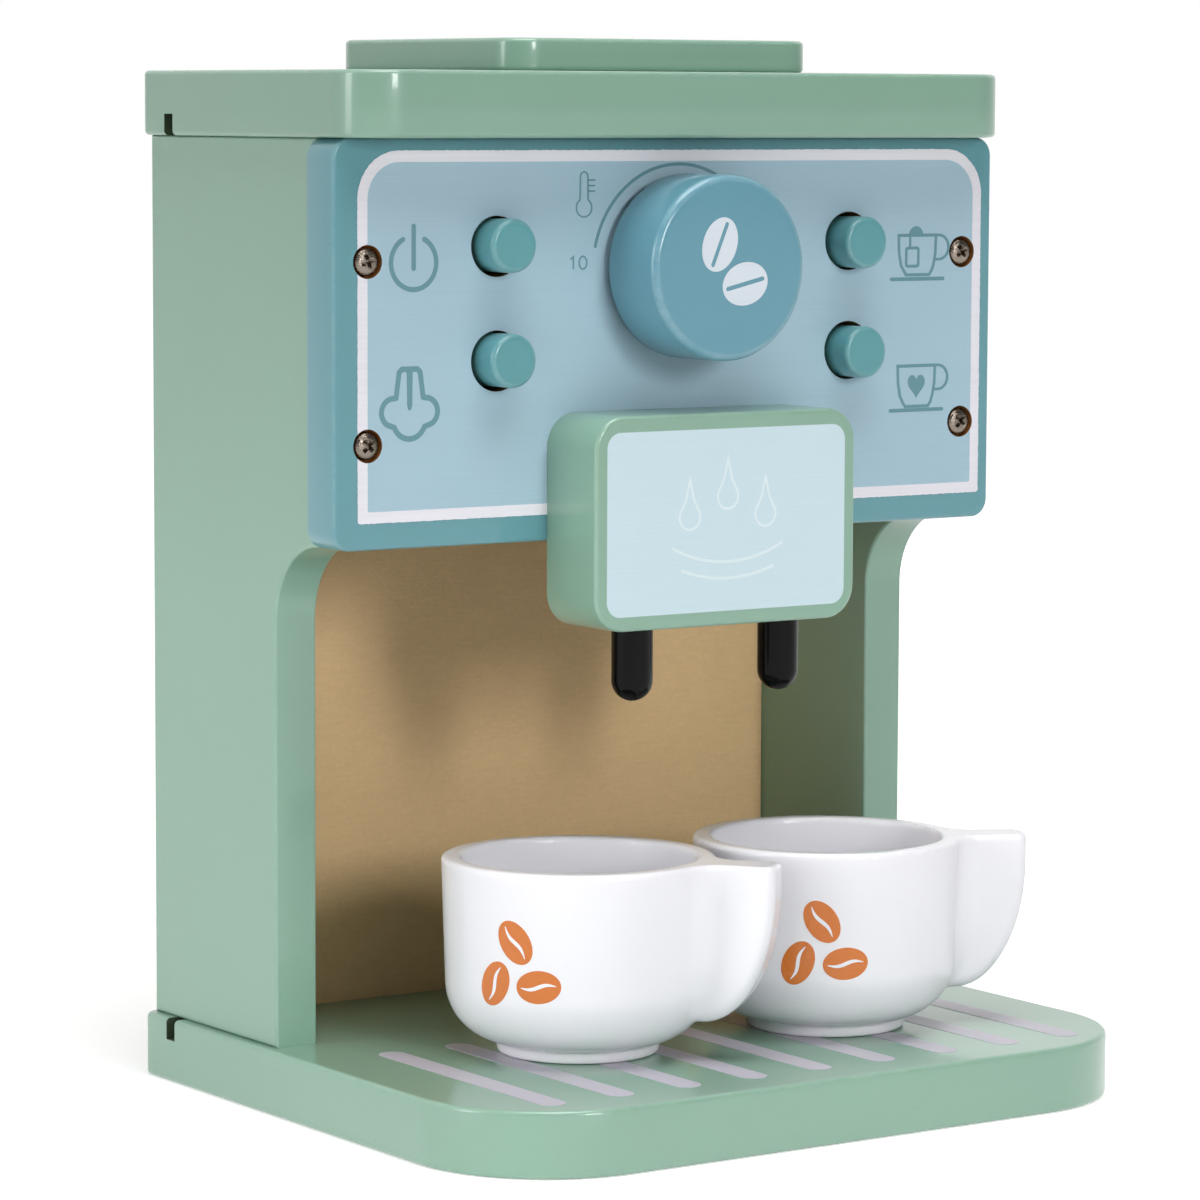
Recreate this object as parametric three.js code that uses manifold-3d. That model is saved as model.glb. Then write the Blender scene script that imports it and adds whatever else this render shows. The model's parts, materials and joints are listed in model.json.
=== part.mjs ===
// A wooden toy coffee maker: a tray board, two cut-out side panels, a top board and a front board
// make the housing. The front board carries four sprung push buttons, a turning knob and a block
// with two pouring spouts. Two loose cups stand on the tray.
//
// Millimetres. +X points to the right seen from the front, +Y to the back and +Z up.
// The origin is the middle of the tray board's underside.

import * as THREE from 'three';
import { mergeVertices } from 'three/addons/utils/BufferGeometryUtils.js';
import Module from 'manifold-3d';

const wasm = await Module();
wasm.setup();

// Tray board, which the whole toy stands on
const baseWidth = 148;
const baseDepth = 125;
const baseThickness = 12;
const baseFrontRadius = 27;
const rearCornerRadius = 3;
const boardEdgeRound = 0.9;

// Top board, a little narrower than the tray board, and the raised plate on it
const topSideInset = 0.5;
const topDepth = 78.5;
const topThickness = 12;
const topFrontRadius = 10;
const plateWidth = 69;
const plateDepth = 62;
const plateThickness = 6;
const plateCornerRadius = 7;
const plateSetback = 11.3;

// Side panels: a deep head over a narrower leg
const sideInset = 2.2;
const sideThickness = 8.7;
const sideHeight = 166;
const sideRearInset = 1.4;
const legDepth = 45;
const sideEdgeRound = 0.7;

// Front board, as wide as the tray board
const frontThickness = 9.3;
const frontHeight = 73;
const frontSetback = 8.1;
const frontCornerRadius = 3.5;

// Back panel of thin board, let into a saw groove in the tray board and one in the top board
const backThickness = 2.5;
const backInset = 9.8;
const backSideGap = 0.5;
const backEdgeRound = 0.3;
const grooveDepth = 4;

// Clearances and the overrun of a cut past the face that it opens
const seatGap = 0.3;
const runningGap = 0.1;
const cutOverrun = 2;

// Push buttons, with each pair measured in from a side panel and down from the board's top edge
const buttonInset = 23.45;
const buttonDrop = 19.4;
const buttonPitch = 20.6;
const buttonDiameter = 9.7;
const buttonHoleDiameter = 11;
const buttonPressedProud = 2;
const buttonTravel = 3.6;
const buttonEdgeRound = 0.9;
// Each button sits a little to the right in its loose hole, the left ones high, the right ones low
const buttonHang = 0.3;
const buttonLift = 0.2;
const flangeDiameter = 14;
const flangeThickness = 3;
const spigotDiameter = 5;
const spigotLength = 2.6;

// Wooden blocks behind the front board, each with the bores of two buttons and their springs
const housingWidth = 24;
const housingHeight = 52;
const housingDepth = 20;
const housingEdgeRound = 0.6;
const springBoreDiameter = 15;
const springBoreDepth = 16;
const housingScrewSpan = 45;
const housingScrewSink = 8;
const housingScrewBite = 7;
const springCoilDiameter = 7.6;
const springWireDiameter = 0.8;
const springTurns = 5;

// Turning knob, with its place measured from the front board's top edge and middle
const knobDiameter = 33.9;
const knobThickness = 14.7;
const knobEdgeRound = 1.4;
const knobRearRound = 0.6;
const knobDrop = 23.45;
const knobOffset = 0.5;
const knobScrewDiameter = 3.5;
const knobScrewHeadDiameter = 7;
const knobScrewHeadHeight = 2.6;
const knobScrewBite = 10;
const spacerDiameter = 13;
const spacerThickness = 1.3;
const washerDiameter = 10;
const washerThickness = 0.8;

// Pouring block on the front board, in line with the knob, and its two spouts
const blockWidth = 58.3;
const blockHeight = 39;
const blockDepth = 15.8;
const blockKnobGap = 9.3;
const blockCornerRadius = 6.2;
const blockEdgeRound = 0.9;
const spoutDiameter = 7.6;
const spoutLength = 28.5;
const spoutSocketDepth = 15;
const spoutSpan = 33;
const spoutReach = 9.15;
const blockScrewSpan = 36;
const blockScrewBite = 10;

// Round-headed screws: four show on the front board, the others are behind it
const screwDiameter = 3;
const screwHeadDiameter = 5.2;
const screwHeadHeight = 2.2;
const screwTipLength = 2.5;
const frontScrewShift = 0.55;
const frontScrewDrop = 21.8;
const frontScrewPitch = 32.6;
const frontScrewBite = 16;
const counterboreDiameter = 6;
const counterboreDepth = 1.9;

// Countersunk screws up through the tray board into the legs
const baseScrewDiameter = 3.5;
const baseScrewHeadDiameter = 7;
const baseScrewBite = 18;
const baseScrewSink = 0.4;

// Cross recess in every screw head, as shares of the head's diameter
const recessSpanShare = 0.58;
const recessWidthShare = 0.16;
const recessDepthShare = 0.2;

// Glued dowels: side panels to top board, and top board to plate
const dowelDiameter = 5;
const dowelInTop = 8;
const dowelInSide = 12;
const plateDowelSpan = 40;
const plateDowelInPlate = 3.5;
const plateDowelInTop = 6;
const dowelBevel = 0.5;

// Cups
const cupDiameter = 50;
const cupHeight = 36;
const cupWall = 3.5;
const cupFloor = 4.6;
const cupTaper = 0.7;
const cupBellyRadius = 11;
const cupInnerBellyRadius = 8;
const cupRimRound = 0.8;
const footDiameter = 29.6;
const footFlare = 0.4;
const footHollowDepth = 0.8;
const footHollowDiameter = 24.5;
const footEdgeRound = 0.5;
const handleReach = 12.7;
const handleThickness = 8;
const handleEdgeRound = 2.2;
const handleDepth = 29;
const handleShoulder = 5;
const handleTipRound = 2.5;
const handleRootInset = 5;

// How the cups stand under the spouts: the gap between them, how far its middle lies from the
// toy's, how far each is behind or before the spouts, and how its handle turns from +X towards +Y
const cupGap = 3.1;
const cupGapOffset = 0.35;
const leftCupBehind = 2.05;
const rightCupBefore = 2.45;
const leftCupDegrees = -51.8;
const rightCupDegrees = -27.4;

// Shares along the legs and the heads at which screws and dowels join them to the boards
const baseScrewShares = [0.2, 0.62];
const topDowelShares = [0.2, 0.7];

// Counts of facets
const largeArcSegments = 4;
const smallArcSegments = 2;
const squareCornerSegments = 1;
const edgeSegments = 2;
const cupFacets = 48;
const knobFacets = 48;
const buttonFacets = 24;
const boreFacets = 20;
const screwFacets = 12;
const dowelFacets = 12;
const bellySegments = 4;
const roundSegments = 2;
const springStepsPerTurn = 8;
const springSides = 4;

// Vertices nearer than this are one vertex
const weldDistance = 0.001;

// Planes and lines that several pieces share
const rearY = baseDepth / 2;
const topFrontY = rearY - topDepth;
const frontFaceY = topFrontY + frontSetback;
const frontRearY = frontFaceY + frontThickness;
const sideRearY = rearY - sideRearInset;
const legFrontY = sideRearY - legDepth;
const topWidth = baseWidth - 2 * topSideInset;
const sideInnerX = baseWidth / 2 - sideInset - sideThickness;
const sideMiddleX = sideInnerX + sideThickness / 2;
const buttonX = sideInnerX - buttonInset;
const frontScrewX = sideMiddleX - frontScrewShift;
const headDepth = sideRearY - frontRearY;
const topUnderZ = baseThickness + sideHeight;
const topUpperZ = topUnderZ + topThickness;
const frontBottomZ = topUnderZ - frontHeight;
const backRearY = rearY - backInset;
const backMiddleY = backRearY - backThickness / 2;
const plateFrontY = topFrontY + plateSetback;
const knobZ = topUnderZ - knobDrop;
const blockTopZ = knobZ - knobDiameter / 2 - blockKnobGap;
const blockBottomZ = blockTopZ - blockHeight;
const blockScrewZ = (frontBottomZ + blockTopZ) / 2;
const spoutY = frontFaceY - spoutReach;
const knobRearGap = spacerThickness + 2 * runningGap;
const buttonProud = buttonPressedProud + buttonTravel;
const buttonHeights = { upper: topUnderZ - buttonDrop, lower: topUnderZ - buttonDrop - buttonPitch };
const housingMiddleZ = (buttonHeights.upper + buttonHeights.lower) / 2;
const frontScrewHeights = {
  upper: topUnderZ - frontScrewDrop,
  lower: topUnderZ - frontScrewDrop - frontScrewPitch,
};
const sides = { left: -1, right: 1 };

// Quarter turns that stand a piece modelled along +Z on another axis
const quarterTurn = Math.PI / 2;
const outOfFront = quarterTurn;
const outOfBack = -quarterTurn;
const outOfUnderside = Math.PI;

// Surfaces: colour, roughness and metalness
const finishes = {
  sagePaint: { color: 0xa2c0ae, roughness: 0.45, metalness: 0 },
  tealPaint: { color: 0x6c9ea8, roughness: 0.45, metalness: 0 },
  buttonPaint: { color: 0x64a0a3, roughness: 0.4, metalness: 0 },
  blackGloss: { color: 0x0b0b0c, roughness: 0.2, metalness: 0 },
  bareBoard: { color: 0xb99b72, roughness: 0.85, metalness: 0 },
  bareWood: { color: 0xd6b98c, roughness: 0.8, metalness: 0 },
  steel: { color: 0xa9a49c, roughness: 0.3, metalness: 1 },
  nylon: { color: 0xe6e4dc, roughness: 0.5, metalness: 0 },
  whiteGlaze: { color: 0xeeedf2, roughness: 0.2, metalness: 0 },
};

// Joins the vertices of a geometry and drops the triangles that have shrunk to a line
function welded(geometry) {
  const bare = geometry.clone();
  bare.deleteAttribute('normal');
  bare.deleteAttribute('uv');
  const merged = mergeVertices(bare, weldDistance);
  const corners = merged.index.array;
  const kept = [];
  for (let i = 0; i < corners.length; i += 3) {
    const [a, b, c] = [corners[i], corners[i + 1], corners[i + 2]];
    if (a !== b && b !== c && c !== a) kept.push(a, b, c);
  }
  merged.setIndex(kept);
  return merged;
}

function solidOf(geometry) {
  const mesh = welded(geometry);
  return new wasm.Manifold(new wasm.Mesh({
    numProp: 3,
    vertProperties: new Float32Array(mesh.attributes.position.array),
    triVerts: new Uint32Array(mesh.index.array),
  }));
}

function geometryOf(solid) {
  const mesh = solid.getMesh();
  const geometry = new THREE.BufferGeometry();
  geometry.setAttribute('position', new THREE.BufferAttribute(mesh.vertProperties, 3));
  geometry.setIndex(new THREE.BufferAttribute(mesh.triVerts, 1));
  return geometry;
}

// Cuts every one of the cutters out of a geometry
function cut(geometry, cutters) {
  const solid = cutters.reduce((rest, cutter) => rest.subtract(solidOf(cutter)), solidOf(geometry));
  return geometryOf(solid);
}

// A rectangle whose two low and two high corners have their own radii
function roundedRectangle(width, low, high, lowRadius, highRadius) {
  const half = width / 2;
  const shape = new THREE.Shape();
  shape.moveTo(-half + lowRadius, low);
  shape.lineTo(half - lowRadius, low);
  shape.absarc(half - lowRadius, low + lowRadius, lowRadius, -quarterTurn, 0, false);
  shape.lineTo(half, high - highRadius);
  shape.absarc(half - highRadius, high - highRadius, highRadius, 0, quarterTurn, false);
  shape.lineTo(-half + highRadius, high);
  shape.absarc(-half + highRadius, high - highRadius, highRadius, quarterTurn, Math.PI, false);
  shape.lineTo(-half, low + lowRadius);
  shape.absarc(-half + lowRadius, low + lowRadius, lowRadius, Math.PI, Math.PI + quarterTurn, false);
  return shape;
}

// A flat piece from z = 0 up to its thickness, with its edges rounded over
function slab(shape, thickness, edgeRound, curveSegments) {
  const geometry = new THREE.ExtrudeGeometry(shape, {
    depth: thickness - 2 * edgeRound,
    bevelEnabled: true,
    bevelThickness: edgeRound,
    bevelSize: edgeRound,
    bevelOffset: -edgeRound,
    bevelSegments: edgeSegments,
    curveSegments,
  });
  geometry.translate(0, 0, edgeRound);
  return geometry;
}

// Stands a slab drawn in X and Z upright, so that its thickness runs towards the front
function facingFront(geometry) {
  return geometry.rotateX(outOfFront);
}

// Stands a slab drawn in Y and Z upright, so that its thickness runs along +X
function facingSide(geometry) {
  const axes = new THREE.Matrix4().makeBasis(
    new THREE.Vector3(0, 1, 0),
    new THREE.Vector3(0, 0, 1),
    new THREE.Vector3(1, 0, 0),
  );
  return geometry.applyMatrix4(axes);
}

// A piece turned about the Z axis from [radius, height] points that start and end on it
function turned(points, facets) {
  const profile = points.map(([radius, height]) => new THREE.Vector2(radius, height));
  const geometry = new THREE.LatheGeometry(profile, facets);
  geometry.rotateX(quarterTurn);
  return welded(geometry);
}

// A plain round rod from one height up to another
function rod(diameter, low, high, facets) {
  const radius = diameter / 2;
  return turned([[0, low], [radius, low], [radius, high], [0, high]], facets);
}

// A flat ring that rests on z = 0
function ring(innerDiameter, outerDiameter, thickness, facets) {
  const inner = innerDiameter / 2;
  const outer = outerDiameter / 2;
  const points = [[inner, 0], [outer, 0], [outer, thickness], [inner, thickness], [inner, 0]];
  return turned(points, facets);
}

// Points on a quarter circle about a centre, from one angle to another, both in quarter turns
function arcPoints(centreRadius, centreHeight, radius, fromQuarter, toQuarter, segments) {
  return Array.from({ length: segments + 1 }, (_, i) => {
    const angle = (fromQuarter + (toQuarter - fromQuarter) * i / segments) * quarterTurn;
    return [centreRadius + radius * Math.cos(angle), centreHeight + radius * Math.sin(angle)];
  });
}

// A dowel with both its ends bevelled
function dowel(low, high) {
  const radius = dowelDiameter / 2;
  return turned([
    [0, low],
    [radius - dowelBevel, low],
    [radius, low + dowelBevel],
    [radius, high - dowelBevel],
    [radius - dowelBevel, high],
    [0, high],
  ], dowelFacets);
}

// A hole along X, Y or Z through a point, made by turning a rod that stands at the origin
function hole(diameter, length, facets, x, y, z, tilt) {
  return rod(diameter, -length, length, facets).rotateX(tilt).translate(x, y, z);
}

// A blind hole that enters at a point and runs against the direction that its mouth faces
function blindHole(diameter, depth, facets, x, y, z, mouth) {
  return rod(diameter, -depth, cutOverrun, facets).rotateX(mouth).translate(x, y, z);
}

// The cross that a screwdriver fits, cut down from the top of a head
function crossRecess(headDiameter, topHeight) {
  const span = headDiameter * recessSpanShare;
  const width = headDiameter * recessWidthShare;
  const depth = headDiameter * recessDepthShare;
  return [[span, width], [width, span]].map(([across, along]) => (
    new THREE.BoxGeometry(across, along, 2 * depth).translate(0, 0, topHeight)
  ));
}

// A screw that stands on its seat at z = 0, with its head above and its shank below
function roundHeadScrew(diameter, headDiameter, headHeight, length) {
  const radius = diameter / 2;
  const headRadius = headDiameter / 2;
  const domeHeight = headHeight / 2;
  const dome = arcPoints(0, 0, 1, 0, 1, roundSegments).map(([across, up]) => (
    [headRadius * across, domeHeight + domeHeight * up]
  ));
  const body = turned([
    [0, -length],
    [radius, screwTipLength - length],
    [radius, 0],
    [headRadius, 0],
    ...dome,
  ].map(([across, up]) => [Math.max(across, 0), up]), screwFacets);
  return cut(body, crossRecess(headDiameter, headHeight));
}

function countersunkScrew(diameter, headDiameter, length) {
  const radius = diameter / 2;
  const headRadius = headDiameter / 2;
  const coneDepth = headRadius - radius;
  const body = turned([
    [0, -length],
    [radius, screwTipLength - length],
    [radius, -coneDepth],
    [headRadius, 0],
    [0, 0],
  ], screwFacets);
  return cut(body, crossRecess(headDiameter, 0));
}

const group = new THREE.Group();

// Adds a named piece with a material of its own, turned about X and then moved to its place
function add(name, geometry, finish, x, y, z, tilt) {
  const mesh = new THREE.Mesh(geometry, new THREE.MeshStandardMaterial(finishes[finish]));
  mesh.name = name;
  mesh.material.flatShading = true;
  mesh.position.set(x, y, z);
  mesh.rotation.x = tilt;
  group.add(mesh);
  return mesh;
}

// The saw groove for the back panel, opened at the height and cut to the depth either side of it
function backGroove(width, height) {
  const grooveWidth = backThickness + 2 * seatGap;
  const groove = new THREE.BoxGeometry(width + 2 * cutOverrun, grooveWidth, 2 * grooveDepth);
  return groove.translate(0, backMiddleY, height);
}

function baseScrewPlaces() {
  return Object.entries(sides).flatMap(([side, sign]) => baseScrewShares.map((share, i) => ({
    name: `base_screw_${side}_${i === 0 ? 'front' : 'rear'}`,
    x: sign * sideMiddleX,
    y: legFrontY + share * legDepth,
  })));
}

function topDowelPlaces() {
  return Object.entries(sides).flatMap(([side, sign]) => topDowelShares.map((share, i) => ({
    name: `top_dowel_${side}_${i === 0 ? 'front' : 'rear'}`,
    x: sign * sideMiddleX,
    y: frontRearY + share * headDepth,
  })));
}

// Tray board, with the groove and four countersunk screw holes
function baseBoard() {
  const outline = roundedRectangle(baseWidth, -rearY, rearY, baseFrontRadius, rearCornerRadius);
  const board = slab(outline, baseThickness, boardEdgeRound, largeArcSegments);
  const holeDiameter = baseScrewDiameter + 2 * seatGap;
  const mouthRadius = baseScrewHeadDiameter / 2 + seatGap;
  const coneDepth = mouthRadius - holeDiameter / 2;
  const screwHoles = baseScrewPlaces().map(({ x, y }) => turned([
    [0, -cutOverrun],
    [mouthRadius, -cutOverrun],
    [mouthRadius, baseScrewSink],
    [holeDiameter / 2, baseScrewSink + coneDepth],
    [holeDiameter / 2, baseThickness + cutOverrun],
    [0, baseThickness + cutOverrun],
  ], screwFacets).translate(x, y, 0));
  return cut(board, [backGroove(baseWidth, baseThickness), ...screwHoles]);
}

// Top board, grooved and bored for dowels from below, and bored for the plate's dowels from above
function topBoard() {
  const outline = roundedRectangle(topWidth, topFrontY, rearY, topFrontRadius, rearCornerRadius);
  const board = slab(outline, topThickness, boardEdgeRound, largeArcSegments);
  const holeDiameter = dowelDiameter + 2 * seatGap;
  const fromBelow = topDowelPlaces().map(({ x, y }) => (
    blindHole(holeDiameter, dowelInTop + seatGap, screwFacets, x, y, 0, outOfUnderside)
  ));
  const fromAbove = Object.values(sides).map((sign) => blindHole(
    holeDiameter,
    plateDowelInTop + seatGap,
    screwFacets,
    sign * plateDowelSpan / 2,
    plateFrontY + plateDepth / 2,
    topThickness,
    0,
  ));
  return cut(board, [backGroove(topWidth, 0), ...fromBelow, ...fromAbove]);
}

// Raised plate on the top board, with two blind dowel holes in its underside
function topPlate() {
  const half = plateDepth / 2;
  const outline = roundedRectangle(plateWidth, -half, half, plateCornerRadius, plateCornerRadius);
  const board = slab(outline, plateThickness, boardEdgeRound, largeArcSegments);
  const holeDiameter = dowelDiameter + 2 * seatGap;
  return cut(board, Object.values(sides).map((sign) => blindHole(
    holeDiameter,
    plateDowelInPlate + seatGap,
    screwFacets,
    sign * plateDowelSpan / 2,
    0,
    0,
    outOfUnderside,
  )));
}

// Side panel: the head is as deep as the housing, the leg is set back under a hollow quarter round.
// The screws of the front board go in a little nearer the toy's middle than the panel's own.
function sidePanel(sign) {
  const archRadius = legFrontY - frontRearY;
  const archZ = frontBottomZ - archRadius;
  const shape = new THREE.Shape();
  shape.moveTo(legFrontY, baseThickness);
  shape.lineTo(sideRearY, baseThickness);
  shape.lineTo(sideRearY, topUnderZ);
  shape.lineTo(frontRearY, topUnderZ);
  shape.lineTo(frontRearY, frontBottomZ);
  shape.absarc(frontRearY, archZ, archRadius, quarterTurn, 0, true);
  const panel = facingSide(slab(shape, sideThickness, sideEdgeRound, largeArcSegments));
  panel.translate(-sideThickness / 2, 0, 0);
  const pilot = screwDiameter + 2 * seatGap;
  const pilotDepth = frontScrewBite + seatGap;
  const pilotX = -sign * frontScrewShift;
  const frontPilots = Object.values(frontScrewHeights).map((height) => (
    blindHole(pilot, pilotDepth, screwFacets, pilotX, frontRearY, height, outOfFront)
  ));
  const basePilots = baseScrewPlaces().filter(({ x }) => x > 0).map(({ y }) => blindHole(
    baseScrewDiameter + 2 * seatGap,
    baseScrewBite + seatGap,
    screwFacets,
    0,
    y,
    baseThickness,
    outOfUnderside,
  ));
  const dowelHoles = topDowelPlaces().filter(({ x }) => x > 0).map(({ y }) => (
    blindHole(dowelDiameter + 2 * seatGap, dowelInSide + seatGap, screwFacets, 0, y, topUnderZ, 0)
  ));
  return cut(panel, [...frontPilots, ...basePilots, ...dowelHoles]);
}

// Back panel, standing in both grooves between the side panels
function backPanel() {
  const width = 2 * (sideInnerX - backSideGap);
  const low = baseThickness - grooveDepth + seatGap;
  const high = topUnderZ + grooveDepth - seatGap;
  const outline = roundedRectangle(width, low, high, backEdgeRound, backEdgeRound);
  return facingFront(slab(outline, backThickness, backEdgeRound, squareCornerSegments));
}

// Front board with its button holes, counterbored screw holes, knob hole and pilot holes
function frontBoard() {
  const outline = roundedRectangle(
    baseWidth,
    frontBottomZ,
    topUnderZ,
    frontCornerRadius,
    frontCornerRadius,
  );
  const board = facingFront(slab(outline, frontThickness, boardEdgeRound, smallArcSegments));
  const through = frontThickness + cutOverrun;
  const pilot = screwDiameter + 2 * seatGap;
  const cutters = [];
  for (const sign of Object.values(sides)) {
    const x = sign * buttonX;
    for (const height of Object.values(buttonHeights)) {
      cutters.push(hole(buttonHoleDiameter, through, buttonFacets, x, 0, height, outOfFront));
    }
    for (const height of Object.values(frontScrewHeights)) {
      const screwX = sign * frontScrewX;
      const face = -frontThickness;
      cutters.push(hole(pilot, through, screwFacets, screwX, 0, height, outOfFront));
      cutters.push(blindHole(
        counterboreDiameter,
        counterboreDepth,
        boreFacets,
        screwX,
        face,
        height,
        outOfFront,
      ));
    }
    for (const end of Object.values(sides)) {
      const height = housingMiddleZ + end * housingScrewSpan / 2;
      const depth = housingScrewBite + seatGap;
      cutters.push(blindHole(pilot, depth, screwFacets, x, 0, height, outOfBack));
    }
    const blockScrewX = knobOffset + sign * blockScrewSpan / 2;
    cutters.push(hole(pilot, through, screwFacets, blockScrewX, 0, blockScrewZ, outOfFront));
  }
  const knobHole = knobScrewDiameter + 2 * seatGap;
  cutters.push(hole(knobHole, through, screwFacets, knobOffset, 0, knobZ, outOfFront));
  return cut(board, cutters);
}

// Pouring block with two sockets for the spouts and two pilot holes in its back
function spoutBlock() {
  const outline = roundedRectangle(
    blockWidth,
    blockBottomZ,
    blockTopZ,
    blockCornerRadius,
    blockCornerRadius,
  );
  const block = facingFront(slab(outline, blockDepth, blockEdgeRound, largeArcSegments));
  const cutters = [];
  for (const sign of Object.values(sides)) {
    cutters.push(blindHole(
      spoutDiameter + 2 * seatGap,
      spoutSocketDepth + seatGap,
      boreFacets,
      sign * spoutSpan / 2,
      -spoutReach,
      blockBottomZ,
      outOfUnderside,
    ));
    cutters.push(blindHole(
      screwDiameter + 2 * seatGap,
      blockScrewBite + seatGap,
      screwFacets,
      sign * blockScrewSpan / 2,
      0,
      blockScrewZ,
      outOfBack,
    ));
  }
  return cut(block, cutters);
}

// Spout: a rod with a half-ball end, hung down from its socket
function spout() {
  const radius = spoutDiameter / 2;
  return turned([
    ...arcPoints(0, radius - spoutLength, radius, -1, 0, bellySegments),
    [radius, -dowelBevel],
    [radius - dowelBevel, 0],
    [0, 0],
  ].map(([across, up]) => [Math.max(across, 0), up]), boreFacets);
}

// Knob, with a blind hole in its back for the screw that it turns on
function knob() {
  const radius = knobDiameter / 2;
  const holeRadius = knobScrewDiameter / 2 + seatGap;
  const holeDepth = knobScrewBite + seatGap;
  return turned([
    [0, holeDepth],
    [holeRadius, holeDepth],
    [holeRadius, 0],
    ...arcPoints(radius - knobRearRound, knobRearRound, knobRearRound, -1, 0, edgeSegments),
    ...arcPoints(radius - knobEdgeRound, knobThickness - knobEdgeRound, knobEdgeRound, 0, 1,
      roundSegments),
    [0, knobThickness],
  ], knobFacets);
}

// Button: a rod that shows, a flange that stops behind the board and a spigot inside the spring
function button() {
  const radius = buttonDiameter / 2;
  const flangeRadius = flangeDiameter / 2;
  const spigotRadius = spigotDiameter / 2;
  const flangeFront = -frontThickness - runningGap;
  const flangeBack = flangeFront - flangeThickness;
  return turned([
    [0, flangeBack - spigotLength],
    [spigotRadius, flangeBack - spigotLength],
    [spigotRadius, flangeBack],
    [flangeRadius, flangeBack],
    [flangeRadius, flangeFront],
    [radius, flangeFront],
    ...arcPoints(radius - buttonEdgeRound, buttonProud - buttonEdgeRound, buttonEdgeRound, 0, 1,
      roundSegments),
    [0, buttonProud],
  ], buttonFacets);
}

// The centre line of a coil spring that runs along +Z from the origin
class SpringLine extends THREE.Curve {
  constructor(radius, length, turns) {
    super();
    this.radius = radius;
    this.length = length;
    this.turns = turns;
  }

  getPoint(t, target = new THREE.Vector3()) {
    const angle = 2 * Math.PI * this.turns * t;
    const x = this.radius * Math.cos(angle);
    const y = this.radius * Math.sin(angle);
    return target.set(x, y, this.length * t);
  }
}

// Coil spring between the button's flange and the floor of its bore
function buttonSpring() {
  const wireRadius = springWireDiameter / 2;
  const room = springBoreDepth - runningGap - flangeThickness;
  const height = room - 2 * seatGap - springWireDiameter;
  const line = new SpringLine(springCoilDiameter / 2, height, springTurns);
  const section = new THREE.Shape(Array.from({ length: springSides }, (_, i) => {
    const angle = 2 * Math.PI * i / springSides;
    return new THREE.Vector2(wireRadius * Math.cos(angle), wireRadius * Math.sin(angle));
  }));
  const geometry = new THREE.ExtrudeGeometry(section, {
    steps: springTurns * springStepsPerTurn,
    extrudePath: line,
    bevelEnabled: false,
  });
  return geometry.translate(0, 0, seatGap + wireRadius);
}

// Block behind the front board: two spring bores open to the front, two sunk screws from the back
function springHousing() {
  const half = housingHeight / 2;
  const outline = roundedRectangle(housingWidth, -half, half, housingEdgeRound, housingEdgeRound);
  const block = facingFront(slab(outline, housingDepth, housingEdgeRound, squareCornerSegments));
  const through = housingDepth + cutOverrun;
  const cutters = [];
  for (const end of Object.values(sides)) {
    const boreZ = end * buttonPitch / 2;
    const screwZ = end * housingScrewSpan / 2;
    cutters.push(blindHole(
      springBoreDiameter,
      springBoreDepth,
      boreFacets,
      0,
      -housingDepth,
      boreZ,
      outOfFront,
    ));
    cutters.push(hole(screwDiameter + 2 * seatGap, through, screwFacets, 0, 0, screwZ, outOfFront));
    cutters.push(blindHole(
      screwHeadDiameter + 2 * seatGap,
      housingScrewSink,
      boreFacets,
      0,
      0,
      screwZ,
      outOfBack,
    ));
  }
  return cut(block, cutters);
}

// Outer form of a cup, from the middle of its foot up the outside and back to the axis at the rim
function cupOutside() {
  const rimRadius = cupDiameter / 2;
  const bellyRadius = rimRadius - cupTaper;
  const footRadius = footDiameter / 2;
  const bellyCentre = bellyRadius - cupBellyRadius;
  const footTopRadius = footRadius + footFlare;
  const footQuarter = Math.acos((footTopRadius - bellyCentre) / cupBellyRadius) / quarterTurn;
  const footTop = cupFloor / 2;
  const bellyHeight = footTop + cupBellyRadius * Math.sin(footQuarter * quarterTurn);
  return turned([
    [0, footHollowDepth],
    [footHollowDiameter / 2 - footHollowDepth, footHollowDepth],
    [footHollowDiameter / 2, 0],
    [footRadius - footEdgeRound, 0],
    [footRadius, footEdgeRound],
    ...arcPoints(bellyCentre, bellyHeight, cupBellyRadius, -footQuarter, 0, bellySegments),
    ...arcPoints(rimRadius - cupRimRound, cupHeight - cupRimRound, cupRimRound, 0, 1, roundSegments),
    [0, cupHeight],
  ], cupFacets);
}

// The room inside a cup, run up past the rim
function cupInside() {
  const mouthRadius = cupDiameter / 2 - cupWall;
  const lowRadius = mouthRadius - cupTaper;
  const bellyCentre = lowRadius - cupInnerBellyRadius;
  const bellyHeight = cupFloor + cupInnerBellyRadius;
  const lip = arcPoints(mouthRadius + cupRimRound, cupHeight - cupRimRound, cupRimRound, 2, 1,
    roundSegments);
  const topRadius = mouthRadius + cupRimRound;
  return turned([
    [0, cupFloor],
    ...arcPoints(bellyCentre, bellyHeight, cupInnerBellyRadius, -1, 0, bellySegments),
    ...lip,
    [topRadius, cupHeight + cutOverrun],
    [0, cupHeight + cutOverrun],
  ], cupFacets);
}

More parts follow.
